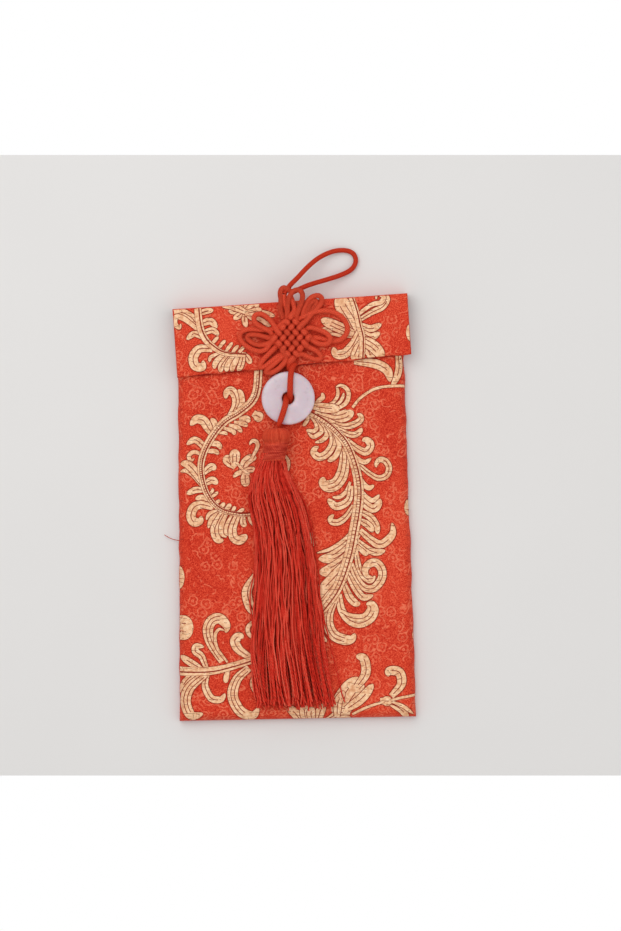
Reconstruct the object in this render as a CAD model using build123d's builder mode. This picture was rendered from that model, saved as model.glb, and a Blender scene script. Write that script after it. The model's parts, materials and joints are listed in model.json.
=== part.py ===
"""Brocade gift envelope with a pan chang knot, a hanging loop, a jade disc and a tassel.

The envelope lies on its back: X runs across it, Y from the bottom edge to the fold and Z
out of the front. Lengths are in millimetres and angles in degrees.
"""
import os
from math import cos, pi, radians, sin, sqrt, tan

from build123d import *

os.makedirs("parts", exist_ok=True)

# Pouch outline
BASE_WIDTH = 100.0        # bottom edge
HEAD_WIDTH = 95.0         # the back wall where it meets the fold
POUCH_HEIGHT = 176.5      # bottom edge to fold on the centre line
FOLD_TILT = 2.8           # the flap is creased this much askew
MARGIN = 5.0              # seam allowance that slopes from the front field to the back
MOUTH_DROP = 7.0          # mouth of the pocket below the fold
SEAM_FOOT = 1.6           # width of the sloping seam where it stands on the back

# Layers
BROCADE = 0.4
BOARD = 0.5
LINING = 0.2
BOARD_INSET = 2.0         # the boards stop short of the cloth all round
LINING_INSET = 0.6        # the flap's lining stops short of its edge
POCKET_GAP = 4.3          # pocket depth from lining to lining

# Flap and closure
FLAP_WIDTH = 99.2
FLAP_LEFT = 28.9          # depth of the flap at its left end
FLAP_RIGHT = 25.7         # depth of the flap at its right end
FLAP_CORNER = 1.5
FOLD_GAP = 0.2            # running clearance at the two creases
TAPE = 0.6                # thickness of each closure tape
TAPE_GAP = 0.1
TAPE_WIDTH = 24.0
TAPE_HEIGHT = 8.0
TAPE_CORNER = 1.5
TAPE_RISE = 6.0           # middle of the tapes above the flap's lower edge

# Thread
STITCH_LENGTH = 2.2
STITCH_WIDTH = 0.5
STITCH_HEIGHT = 0.25
STITCH_INSET = 1.6        # middle of a stitch in from the edge, along the slope
STITCH_COUNT = 30
TACK_LENGTH = 3.6
TACK_WIDTH = 0.6
TACK_HEIGHT = 0.3

# Knot
CORD = 2.0                # cord of the knot and of the hanging loop
KNOT_X = 0.4
KNOT_DROP = 15.0          # middle of the knot below the fold
KNOT_LINES = 4            # runs of cord in each direction of the weave
KNOT_PITCH = 3.4          # spacing of the runs
KNOT_TURN = 48.5          # the runs slope this much from level
WEAVE_RISE = 1.25         # a run climbs and dips this much from the middle of the knot
FLAT_SHARE = 0.25         # level part of a run each side of a crossing, in pitches
BED_GAP = 0.1             # knot above the flap
EAR_REACH = 24.0          # longest ear from the middle of the knot
LINK_GAP = 0.25           # clearance between cord ends that turn on one another

# Places of the ears and tails from the middle of the knot, chosen by hand, in reaches
EAR_INNER_RIGHT_SHARES = ((0.41, 0.14), (0.56, 0.10), (0.70, 0.19), (0.68, 0.31),
                          (0.525, 0.36), (0.34, 0.285))
EAR_OUTER_RIGHT_SHARES = ((0.35, 0.48), (0.69, 0.50), (0.96, 0.35), (1.0, 0.10),
                          (0.75, -0.08), (0.45, -0.17))
EAR_LOW_RIGHT_SHARES = ((0.333, -0.275), (0.475, -0.35), (0.483, -0.458), (0.358, -0.50),
                        (0.225, -0.367))
EAR_LOW_LEFT_SHARES = ((-0.217, -0.392), (-0.392, -0.558), (-0.517, -0.60), (-0.60, -0.517),
                       (-0.525, -0.392), (-0.358, -0.275))
EAR_OUTER_LEFT_SHARES = ((-0.44, -0.167), (-0.688, -0.15), (-0.858, 0.017), (-0.833, 0.267),
                         (-0.604, 0.442), (-0.313, 0.442))
EAR_INNER_LEFT_SHARES = ((-0.342, 0.283), (-0.508, 0.317), (-0.642, 0.242), (-0.65, 0.125),
                         (-0.525, 0.075), (-0.40, 0.133))
TOP_LEFT_SHARES = ((-0.125, 0.458),)
TOP_RIGHT_SHARES = ((0.125, 0.467), (0.0, 0.592))
ROOT_SHARE = (-0.067, 0.746)     # middle of the two strands where the loop leaves
TAIL_SHARE = (0.0, -0.479)       # middle of the two strands where the tails leave
STRAND_SPREAD = 2.3              # the two strands side by side, middle to middle

# Hanging loop: places from the middle of its root, in reaches, and heights in lifts
LOOP_REACH = 31.0
LOOP_SHARES = ((0.02, 0.14, 0.90), (0.206, 0.335, 0.58), (0.452, 0.529, 0.24),
               (0.732, 0.626, 0.04), (0.961, 0.574, 0.0), (0.994, 0.40, 0.0),
               (0.797, 0.261, 0.06), (0.506, 0.181, 0.34), (0.232, 0.11, 0.70))
TABLE_GAP = 0.2           # loop above the table where it lies down

# Pendant
TAIL = 1.6                # tail cords, pulled thinner than the knot
TAIL_SPREAD = 1.8         # the two tails side by side in the disc, middle to middle
TAIL_LEAN = 0.35          # lean of the tail that dives behind the disc
REST_GAP = 0.3            # loose pieces above the cloth and off one another
DISC_RADIUS = 11.2
DISC_HOLE = 2.6           # radius
DISC_THICK = 3.0
DISC_X = -1.5
DISC_DROP = 2.2           # disc below the flap's edge

# Tassel
TASSEL_X = -6.8
HEAD_DROP = 1.4           # top of the tassel below the disc
HEAD_RADIUS = 5.8
HEAD_TAPER = 1.2          # length of the shoulder under the dome
CORE_RADIUS = 4.3         # core that the binding is wound on
BIND_HEIGHT = 6.6
BIND_THREAD = 0.5
BIND_GAP = 0.2            # winding off the core
BIND_TURNS = 6
QUARTERS = 4              # arcs of the winding are laid out by quarter turns
SKIRT_LENGTH = 104.0
SKIRT_NECK = 4.9          # radius of the threads where they leave the binding
NECK_SLICE = 1.4
THREADS = 30              # threads side by side on each face of the skirt
GROOVE_SHARE = 0.72       # thickness between two threads, in thicknesses of the skirt

SKIRT_HEM = 32.0          # width of the skirt at its hem

# Skirt stations below the neck: share of its length, then shift, width and thickness in hems
SKIRT_SHARES = ((0.17, -0.019, 0.69, 0.206), (0.48, 0.106, 0.77, 0.175),
                (1.0, 0.225, 1.0, 0.144))
NECK_WIDTH = 7.6
NECK_THICK = 6.0

CORNER_SHARE = 0.45       # share of a straight run that a corner of a cord may take up
OVERRUN = 2.0             # cutting solids reach this far past what they cut

# Levels
BACK_TOP = BROCADE + BOARD + LINING
FIELD_UNDER = BACK_TOP + POCKET_GAP
FRONT_TOP = FIELD_UNDER + LINING + BOARD + BROCADE
FLAP_UNDER = FRONT_TOP + 2 * TAPE + TAPE_GAP
FLAP_TOP = FLAP_UNDER + LINING + BOARD + BROCADE
KNOT_MID = FLAP_TOP + BED_GAP + CORD / 2 + WEAVE_RISE

# Places in plan
BOTTOM_Y = -POUCH_HEIGHT / 2
FOLD_Y = POUCH_HEIGHT / 2
MOUTH_Y = FOLD_Y - MOUTH_DROP
TILT = radians(FOLD_TILT)
FOLD_PLANE = Plane(origin=(0, FOLD_Y, 0), x_dir=(cos(TILT), sin(TILT), 0), z_dir=(0, 0, 1))
KNOT_Y = FOLD_Y - KNOT_DROP


def half_width(y):
    """Half the width of the pouch at a height."""
    climb = (y - BOTTOM_Y) / POUCH_HEIGHT
    return (BASE_WIDTH + (HEAD_WIDTH - BASE_WIDTH) * climb) / 2


def ring(inset, top):
    """Corners of the pouch outline drawn in by an inset at its sides and bottom."""
    low = BOTTOM_Y + inset
    low_half, top_half = half_width(low) - inset, half_width(top) - inset
    return [(-low_half, low), (low_half, low), (top_half, top), (-top_half, top)]


def back_corners():
    """Corners of the back wall, whose upper edge follows the crooked fold."""
    corners = ring(0, FOLD_Y)
    inset = (BROCADE + LINING + FOLD_GAP) / cos(TILT)
    for index in (2, 3):
        x = corners[index][0]
        corners[index] = (x, FOLD_Y + x * tan(TILT) - inset)
    return corners


def flap_corners():
    """Corners of the flap in the plane of the fold."""
    half = FLAP_WIDTH / 2
    return [(-half, 0), (-half, -FLAP_LEFT), (half, -FLAP_RIGHT), (half, 0)]


def flap_edge(x):
    """Height of the flap's lower edge at a place across the envelope."""
    left, right = (FOLD_PLANE.from_local_coords(Vector(*flap_corners()[i])) for i in (1, 2))
    return left.Y + (x - left.X) / (right.X - left.X) * (right.Y - left.Y)


def corner_radii(points):
    """Largest radius that each corner of a cord's route has room for."""
    radii = []
    for before, here, after in zip(points, points[1:], points[2:]):
        inward, outward = Vector(*here) - Vector(*before), Vector(*after) - Vector(*here)
        turn = radians(inward.get_angle(outward))
        radii.append(CORNER_SHARE * min(inward.length, outward.length) / tan(turn / 2))
    return radii


def cord_tube(name, points, diameter):
    """A cord of straight runs and tangent arcs, in the part that is being built."""
    radii = corner_radii(points)
    with BuildLine() as route:
        FilletPolyline(*points, radius=radii)
    path = route.wires()[0]
    with BuildSketch(Plane(origin=path @ 0, z_dir=path % 0)) as section:
        Circle(diameter / 2)
    tube = sweep(sections=section.sketch, path=path)
    share = tube.volume / (pi * diameter ** 2 / 4 * path.length)
    print(f"{name}: length {path.length:.1f}, least radius {min(radii):.2f}, "
          f"volume share {share:.4f}")
    return path


# The back wall: brocade outside, board inside it and lining in the pocket.
with BuildPart() as back_brocade:
    with BuildSketch():
        Polygon(*back_corners(), align=None)
    extrude(amount=BROCADE)
back_brocade.part.label = "back_brocade"
export_step(back_brocade.part, "parts/back_brocade.step")

with BuildPart() as back_board:
    with BuildSketch(Plane.XY.offset(BROCADE)):
        Polygon(*back_corners(), align=None)
        offset(amount=-BOARD_INSET, mode=Mode.REPLACE)
    extrude(amount=BOARD)
back_board.part.label = "back_board"
export_step(back_board.part, "parts/back_board.step")

with BuildPart() as back_lining:
    with BuildSketch(Plane.XY.offset(BROCADE + BOARD)):
        Polygon(*back_corners(), align=None)
    extrude(amount=LINING)
back_lining.part.label = "back_lining"
export_step(back_lining.part, "parts/back_lining.step")

# The front wall: a flat field of the same three layers, open at the mouth.
with BuildPart() as front_lining:
    with BuildSketch(Plane.XY.offset(FIELD_UNDER)):
        Polygon(*ring(MARGIN, MOUTH_Y), align=None)
    extrude(amount=LINING)
front_lining.part.label = "front_lining"
export_step(front_lining.part, "parts/front_lining.step")

with BuildPart() as front_board:
    with BuildSketch(Plane.XY.offset(FIELD_UNDER + LINING)):
        Polygon(*ring(MARGIN, MOUTH_Y), align=None)
        offset(amount=-BOARD_INSET, mode=Mode.REPLACE)
    extrude(amount=BOARD)
front_board.part.label = "front_board"
export_step(front_board.part, "parts/front_board.step")

with BuildPart() as front_brocade:
    with BuildSketch(Plane.XY.offset(FRONT_TOP - BROCADE)):
        Polygon(*ring(MARGIN, MOUTH_Y), align=None)
    extrude(amount=BROCADE)
front_brocade.part.label = "front_brocade"
export_step(front_brocade.part, "parts/front_brocade.step")


def outline(corners, level):
    """A flat face on the corners given, at a level."""
    with BuildSketch(Plane.XY.offset(level)) as sheet:
        Polygon(*corners, align=None)
    return sheet.sketch.face()


def seam_band(plan):
    """The strip of sloping seam allowance that stands over one plan of the margin."""
    inner_mouth = MOUTH_Y + OVERRUN
    loft(sections=[outline(ring(0, MOUTH_Y), BACK_TOP),
                   outline(ring(MARGIN, MOUTH_Y), FRONT_TOP)], ruled=True)
    loft(sections=[outline(ring(SEAM_FOOT, inner_mouth), BACK_TOP),
                   outline(ring(MARGIN + SEAM_FOOT, inner_mouth), FRONT_TOP)],
         ruled=True, mode=Mode.SUBTRACT)
    extrude(outline(plan, BACK_TOP), amount=FRONT_TOP - BACK_TOP, mode=Mode.INTERSECT)


# The seams: the front's edges slope down and are closed against the back.
EDGE, FIELD = ring(0, MOUTH_Y), ring(MARGIN, MOUTH_Y)

with BuildPart() as left_seam:
    seam_band([EDGE[0], FIELD[0], FIELD[3], EDGE[3]])
left_seam.part.label = "left_seam"
export_step(left_seam.part, "parts/left_seam.step")

with BuildPart() as right_seam:
    seam_band([EDGE[1], EDGE[2], FIELD[2], FIELD[1]])
right_seam.part.label = "right_seam"
export_step(right_seam.part, "parts/right_seam.step")

with BuildPart() as bottom_seam:
    seam_band([EDGE[0], EDGE[1], FIELD[1], FIELD[0]])
bottom_seam.part.label = "bottom_seam"
export_step(bottom_seam.part, "parts/bottom_seam.step")


def seam_plane(low, high, field):
    """Plane on a sloping seam: origin at its lower corner, X along the edge, Z outwards."""
    origin = Vector(*low, BACK_TOP)
    along = Vector(*high, BACK_TOP) - origin
    inward = Vector(*field, FRONT_TOP) - origin
    normal = along.cross(inward)
    normal = normal if normal.Z > 0 else -normal
    return Plane(origin=origin, x_dir=along, z_dir=normal), along.length


def seam_stitches(low, high, field):
    """Whip stitches along one side, each a short bar of thread across the edge."""
    slope, length = seam_plane(low, high, field)
    side = 1 if slope.y_dir.Z > 0 else -1
    pitch = length / (STITCH_COUNT + 1)
    spots = [((index + 1) * pitch, side * STITCH_INSET) for index in range(STITCH_COUNT)]
    with Locations(slope):
        with Locations(*spots):
            Box(STITCH_WIDTH, STITCH_LENGTH, STITCH_HEIGHT,
                align=(Align.CENTER, Align.CENTER, Align.MIN))


with BuildPart() as left_stitches:
    seam_stitches(EDGE[0], EDGE[3], FIELD[0])
left_stitches.part.label = "left_stitches"
export_step(left_stitches.part, "parts/left_stitches.step")

with BuildPart() as right_stitches:
    seam_stitches(EDGE[1], EDGE[2], FIELD[1])
right_stitches.part.label = "right_stitches"
export_step(right_stitches.part, "parts/right_stitches.step")

# The fold: a strip of brocade and lining that stands between the two creases.
with BuildPart() as fold_brocade:
    with BuildSketch(FOLD_PLANE):
        Rectangle(FLAP_WIDTH, BROCADE, align=(Align.CENTER, Align.MAX))
    extrude(amount=FLAP_UNDER - FOLD_GAP)
fold_brocade.part.label = "fold_brocade"
export_step(fold_brocade.part, "parts/fold_brocade.step")

with BuildPart() as fold_lining:
    with BuildSketch(FOLD_PLANE.offset(BACK_TOP)):
        with Locations((0, -BROCADE)):
            Rectangle(FLAP_WIDTH - 2 * LINING_INSET, LINING, align=(Align.CENTER, Align.MAX))
    extrude(amount=FLAP_UNDER - FOLD_GAP - BACK_TOP)
fold_lining.part.label = "fold_lining"
export_step(fold_lining.part, "parts/fold_lining.step")

# The flap: lining below, board in the middle and brocade on the outside.
with BuildPart() as flap_lining:
    with BuildSketch(FOLD_PLANE.offset(FLAP_UNDER)):
        Polygon(*flap_corners(), align=None)
        offset(amount=-LINING_INSET, mode=Mode.REPLACE)
    extrude(amount=LINING)
flap_lining.part.label = "flap_lining"
export_step(flap_lining.part, "parts/flap_lining.step")

with BuildPart() as flap_board:
    with BuildSketch(FOLD_PLANE.offset(FLAP_UNDER + LINING)):
        Polygon(*flap_corners(), align=None)
        offset(amount=-BOARD_INSET, mode=Mode.REPLACE)
    extrude(amount=BOARD)
flap_board.part.label = "flap_board"
export_step(flap_board.part, "parts/flap_board.step")

with BuildPart() as flap_brocade:
    with BuildSketch(FOLD_PLANE.offset(FLAP_TOP - BROCADE)) as flap_face:
        Polygon(*flap_corners(), align=None)
        fillet(flap_face.vertices().sort_by(Axis.Y)[:2], radius=FLAP_CORNER)
    extrude(amount=BROCADE)
flap_brocade.part.label = "flap_brocade"
export_step(flap_brocade.part, "parts/flap_brocade.step")

# The closure: a hook tape under the flap over a loop tape on the front.
TAPE_Y = TAPE_RISE - (FLAP_LEFT + FLAP_RIGHT) / 2

with BuildPart() as loop_tape:
    with BuildSketch(FOLD_PLANE.offset(FRONT_TOP)):
        with Locations((0, TAPE_Y)):
            RectangleRounded(TAPE_WIDTH, TAPE_HEIGHT, TAPE_CORNER)
    extrude(amount=TAPE)
loop_tape.part.label = "loop_tape"
export_step(loop_tape.part, "parts/loop_tape.step")

with BuildPart() as hook_tape:
    with BuildSketch(FOLD_PLANE.offset(FLAP_UNDER - TAPE)):
        with Locations((0, TAPE_Y)):
            RectangleRounded(TAPE_WIDTH, TAPE_HEIGHT, TAPE_CORNER)
    extrude(amount=TAPE)
hook_tape.part.label = "hook_tape"
export_step(hook_tape.part, "parts/hook_tape.step")


def lattice(i, j, height):
    """A place in the weave, counted in pitches from its top corner."""
    middle = (KNOT_LINES - 1) / 2
    slope = radians(KNOT_TURN)
    across = (i - middle) - (j - middle)
    down = (i - middle) + (j - middle)
    return (KNOT_X + across * KNOT_PITCH * cos(slope),
            KNOT_Y - down * KNOT_PITCH * sin(slope), KNOT_MID + height)


def run(line, warp, forward):
    """Over-and-under places of one run of cord through the weave."""
    places = []
    for step in range(KNOT_LINES):
        over = (line + step) % 2 == 0
        height = WEAVE_RISE if over == warp else -WEAVE_RISE
        for share in (-FLAT_SHARE, FLAT_SHARE):
            i, j = (line, step + share) if warp else (step + share, line)
            places.append(lattice(i, j, height))
    return places if forward else places[::-1]


def ear(shares):
    """Places of a loop of cord outside the weave, at the middle of its thickness."""
    return [(KNOT_X + x * EAR_REACH, KNOT_Y + y * EAR_REACH, KNOT_MID) for x, y in shares]


def strand_end(shares, side, back_off):
    """Where one of two strands leaves the knot, short of the axis it turns on."""
    x, y, z = ear([shares])[0]
    return (x + side * STRAND_SPREAD / 2, y + back_off, z)


SHY = CORD / 2 + LINK_GAP

# The knot: one cord, cut where the hanging loop leaves at the top and the tails below.
KNOT_A = ([strand_end(TAIL_SHARE, -1, SHY)] + run(3, True, False)
          + ear(EAR_INNER_RIGHT_SHARES) + run(2, True, True)
          + ear(EAR_LOW_LEFT_SHARES) + run(1, True, False)
          + ear(EAR_OUTER_RIGHT_SHARES) + run(0, False, False)
          + ear(TOP_LEFT_SHARES) + [strand_end(ROOT_SHARE, -1, -SHY)])
KNOT_B = ([strand_end(ROOT_SHARE, 1, -SHY)] + ear(TOP_RIGHT_SHARES[::-1])
          + run(0, True, True) + ear(EAR_OUTER_LEFT_SHARES)
          + run(1, False, True) + ear(EAR_LOW_RIGHT_SHARES)
          + run(2, False, False) + ear(EAR_INNER_LEFT_SHARES)
          + run(3, False, True) + [strand_end(TAIL_SHARE, 1, SHY)])

with BuildPart() as knot:
    ROUTE_A = cord_tube("knot, first half", KNOT_A, CORD)
    ROUTE_B = cord_tube("knot, second half", KNOT_B, CORD)
knot.part.label = "knot"
export_step(knot.part, "parts/knot.step")

# The tacks: bars of thread under the flap that hold the knot's corners.
TACK_SPOTS = [lattice(0, KNOT_LINES - 1, 0)[:2], lattice(KNOT_LINES - 1, 0, 0)[:2],
              lattice(0, 0, 0)[:2]]
with BuildPart() as knot_tacks:
    with BuildSketch(Plane.XY.offset(FLAP_UNDER - TACK_HEIGHT)):
        with Locations(*TACK_SPOTS):
            SlotOverall(TACK_LENGTH, TACK_WIDTH)
    extrude(amount=TACK_HEIGHT)
knot_tacks.part.label = "knot_tacks"
export_step(knot_tacks.part, "parts/knot_tacks.step")

# The hanging loop: it leaves the top of the knot and droops to the table at its far end.
ROOT = Vector(*ear([ROOT_SHARE])[0])
LOOP_LIFT = ROOT.Z - CORD / 2 - TABLE_GAP
LOOP_LOW = CORD / 2 + TABLE_GAP
LOOP_ENDS = [(ROOT.X + side * STRAND_SPREAD / 2, ROOT.Y, ROOT.Z) for side in (-1, 1)]
LOOP_ROUTE = ([LOOP_ENDS[0]]
              + [(ROOT.X + x * LOOP_REACH, ROOT.Y + y * LOOP_REACH, LOOP_LOW + z * LOOP_LIFT)
                 for x, y, z in LOOP_SHARES]
              + [LOOP_ENDS[1]])
with BuildPart() as hanging_loop:
    cord_tube("hanging loop", LOOP_ROUTE, CORD)
    with Locations(*LOOP_ENDS):
        Sphere(CORD / 2)
hanging_loop.part.label = "hanging_loop"
export_step(hanging_loop.part, "parts/hanging_loop.step")

# The pendant's levels: a tail lies under the disc and another over it.
LOW_TAIL = FRONT_TOP + REST_GAP + TAIL / 2
DISC_UNDER = LOW_TAIL + TAIL / 2 + REST_GAP
DISC_TOP = DISC_UNDER + DISC_THICK
HIGH_TAIL = DISC_TOP + REST_GAP + TAIL / 2
DISC_Y = flap_edge(DISC_X) - DISC_DROP - DISC_RADIUS
HEAD = Vector(TASSEL_X, DISC_Y - DISC_RADIUS - HEAD_DROP - HEAD_RADIUS,
              FRONT_TOP + REST_GAP + HEAD_RADIUS)

with BuildPart() as jade_disc:
    with BuildSketch(Plane.XY.offset(DISC_UNDER)):
        with Locations((DISC_X, DISC_Y)):
            Circle(DISC_RADIUS)
            Circle(DISC_HOLE, mode=Mode.SUBTRACT)
    extrude(amount=DISC_THICK)
    ROUND_SHARE = 0.46    # share of the disc's thickness that each rounded edge takes
    fillet(jade_disc.edges().filter_by(GeomType.CIRCLE), radius=ROUND_SHARE * DISC_THICK)
jade_disc.part.label = "jade_disc"
export_step(jade_disc.part, "parts/jade_disc.step")

# The tails: each leaves the knot, changes sides in the disc and stops at the tassel.
TAIL_ROOT = Vector(*ear([TAIL_SHARE])[0])
DIVE_Y = flap_edge(DISC_X) - DISC_DROP / 2
RIM_LOW = DISC_Y - DISC_RADIUS
CROSS_SHARE = 0.1         # slant of a tail through the disc's hole, in disc radii


def to_tassel(place):
    """End of a tail that heads for the middle of the tassel's dome and stops off it."""
    away = (Vector(*place) - HEAD).normalized()
    return tuple(HEAD + away * (HEAD_RADIUS + REST_GAP))


def towards_head(x, y):
    """Place across, at a height, on the line from the disc's hole to the tassel."""
    return x + (TASSEL_X - x) * (DISC_Y - y) / (DISC_Y - HEAD.Y)


HOLE_RIGHT, HOLE_LEFT = DISC_X + TAIL_SPREAD / 2, DISC_X - TAIL_SPREAD / 2
HOLE_HIGH, HOLE_LOW = DISC_Y + CROSS_SHARE * DISC_RADIUS, DISC_Y - CROSS_SHARE * DISC_RADIUS
RIGHT_X, LEFT_X = (TAIL_ROOT.X + side * STRAND_SPREAD / 2 for side in (1, -1))
UNDER_Y = RIM_LOW + REST_GAP
FRONT_EXIT = (towards_head(HOLE_RIGHT, UNDER_Y), UNDER_Y, LOW_TAIL)
BACK_EXIT = (towards_head(HOLE_LEFT, UNDER_Y), UNDER_Y, HIGH_TAIL)

FRONT_ROUTE = [(RIGHT_X, TAIL_ROOT.Y, TAIL_ROOT.Z), (RIGHT_X, DIVE_Y, HIGH_TAIL),
               (HOLE_RIGHT, HOLE_HIGH, HIGH_TAIL), (HOLE_RIGHT, HOLE_LOW, LOW_TAIL),
               FRONT_EXIT, to_tassel(FRONT_EXIT)]
BACK_ROUTE = [(LEFT_X, TAIL_ROOT.Y, TAIL_ROOT.Z), (LEFT_X, DIVE_Y + TAIL_LEAN, TAIL_ROOT.Z),
              (LEFT_X, DIVE_Y - TAIL_LEAN, LOW_TAIL), (HOLE_LEFT, HOLE_HIGH, LOW_TAIL),
              (HOLE_LEFT, HOLE_LOW, HIGH_TAIL), BACK_EXIT, to_tassel(BACK_EXIT)]

with BuildPart() as front_tail:
    cord_tube("front tail", FRONT_ROUTE, TAIL)
    with Locations(FRONT_ROUTE[0]):
        Sphere(TAIL / 2)
front_tail.part.label = "front_tail"
export_step(front_tail.part, "parts/front_tail.step")

with BuildPart() as back_tail:
    cord_tube("back tail", BACK_ROUTE, TAIL)
    with Locations(BACK_ROUTE[0]):
        Sphere(TAIL / 2)
back_tail.part.label = "back_tail"
export_step(back_tail.part, "parts/back_tail.step")

# The tassel's head: a dome of threads drawn down to the core that is bound.
HEAD_PLANE = Plane(origin=HEAD, x_dir=(1, 0, 0), z_dir=(0, 0, 1))
CORE_LOW = -HEAD_TAPER - BIND_HEIGHT
with BuildPart() as tassel_head:
    with BuildSketch(HEAD_PLANE):
        with BuildLine():
            RadiusArc((0, HEAD_RADIUS), (HEAD_RADIUS, 0), HEAD_RADIUS)
            Polyline((HEAD_RADIUS, 0), (CORE_RADIUS, -HEAD_TAPER), (CORE_RADIUS, CORE_LOW),
                     (0, CORE_LOW), (0, HEAD_RADIUS))
        make_face()
    revolve(axis=Axis(HEAD, (0, 1, 0)))
tassel_head.part.label = "tassel_head"
export_step(tassel_head.part, "parts/tassel_head.step")


def wound_place(quarter):
    """A place on the winding and its direction there, counted in quarter turns."""
    angle = quarter * 2 * pi / QUARTERS
    pitch = (BIND_HEIGHT - 2 * BIND_THREAD) / BIND_TURNS
    radius = CORE_RADIUS + BIND_GAP + BIND_THREAD / 2
    along = -HEAD_TAPER - BIND_THREAD - quarter * pitch / QUARTERS
    place = HEAD + Vector(radius * cos(angle), along, radius * sin(angle))
    rate = Vector(-radius * sin(angle), -pitch / (2 * pi), radius * cos(angle))
    return place, rate.normalized()


def wound_joint(start, heading, end, leaving):
    """Middle of the two tangent arcs that join a place and direction to the next."""
    chord, both = end - start, heading + leaving
    spread = 2 * (1 - heading.dot(leaving))
    reach = (sqrt(chord.dot(both) ** 2 + spread * chord.dot(chord)) - chord.dot(both)) / spread
    return (start + end + (heading - leaving) * reach) * (1 / 2)


# The binding: one thread wound round the core from the shoulder to the skirt.
with BuildPart() as tassel_binding:
    with BuildLine() as winding:
        for quarter in range(BIND_TURNS * QUARTERS):
            (start, heading), (end, leaving) = wound_place(quarter), wound_place(quarter + 1)
            first = TangentArc(start, wound_joint(start, heading, end, leaving),
                               tangent=heading)
            TangentArc(first @ 1, end, tangent=first % 1)
    thread_path = winding.wires()[0]
    with BuildSketch(Plane(origin=thread_path @ 0, z_dir=thread_path % 0)):
        Circle(BIND_THREAD / 2)
    sweep(path=thread_path)
tassel_binding.part.label = "tassel_binding"
export_step(tassel_binding.part, "parts/tassel_binding.step")


def skirt_station(share, shift, width, thick):
    """Middle, width and thickness of the skirt at one station."""
    x, y = TASSEL_X + shift * SKIRT_HEM, NECK_Y - share * SKIRT_LENGTH
    z = FRONT_TOP + REST_GAP + thick * SKIRT_HEM / 2
    return Vector(x, y, z), width * SKIRT_HEM, thick * SKIRT_HEM


# The skirt: threads side by side, fused to a slice of the neck, that fan out to the hem.
NECK_Y = HEAD.Y + CORE_LOW
NECK_STATION = (Vector(HEAD.X, NECK_Y - NECK_SLICE / 2, HEAD.Z), NECK_WIDTH, NECK_THICK)
STATIONS = [NECK_STATION] + [skirt_station(*station) for station in SKIRT_SHARES]


def thread_face(middle, width, thick):
    """Section of the skirt: a ridge for each thread on both of its faces."""
    upper = []
    for half in range(2 * THREADS + 1):
        height = thick / 2 if half % 2 else thick / 2 * GROOVE_SHARE
        upper.append((half * width / (2 * THREADS) - width / 2, height))
    lower = [(x, -height) for x, height in upper[::-1]]
    with BuildSketch(Plane(origin=middle, x_dir=(1, 0, 0), z_dir=(0, -1, 0))) as section:
        Polygon(*upper, *lower, align=None)
    return section.sketch.face()


with BuildPart() as tassel_skirt:
    with BuildSketch(Plane(origin=(HEAD.X, NECK_Y, HEAD.Z), x_dir=(1, 0, 0), z_dir=(0, -1, 0))):
        Circle(SKIRT_NECK)
    extrude(amount=NECK_SLICE)
    loft(sections=[thread_face(*station) for station in STATIONS], ruled=True, clean=False)
tassel_skirt.part.label = "tassel_skirt"
export_step(tassel_skirt.part, "parts/tassel_skirt.step")


def least_gap(route, count, skip, diameter):
    """Least clear gap of a cord to itself, measured on points along it."""
    points = [route.position_at(index / (count - 1)) for index in range(count)]
    step = route.length / (count - 1)
    apart = int(skip / step) + 1
    return min((points[a] - points[b]).length for a in range(count)
               for b in range(a + apart, count)) - diameter


GAP_POINTS = 600          # places along a cord where its gap is measured
print(f"binding: least gap to itself "
      f"{least_gap(thread_path, GAP_POINTS, pi * CORE_RADIUS, BIND_THREAD):.2f}")
for part_of_knot, route in (("first", ROUTE_A), ("second", ROUTE_B)):
    print(f"knot, {part_of_knot} half: least gap to itself "
          f"{least_gap(route, GAP_POINTS, 2 * KNOT_PITCH, CORD):.2f}")
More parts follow.
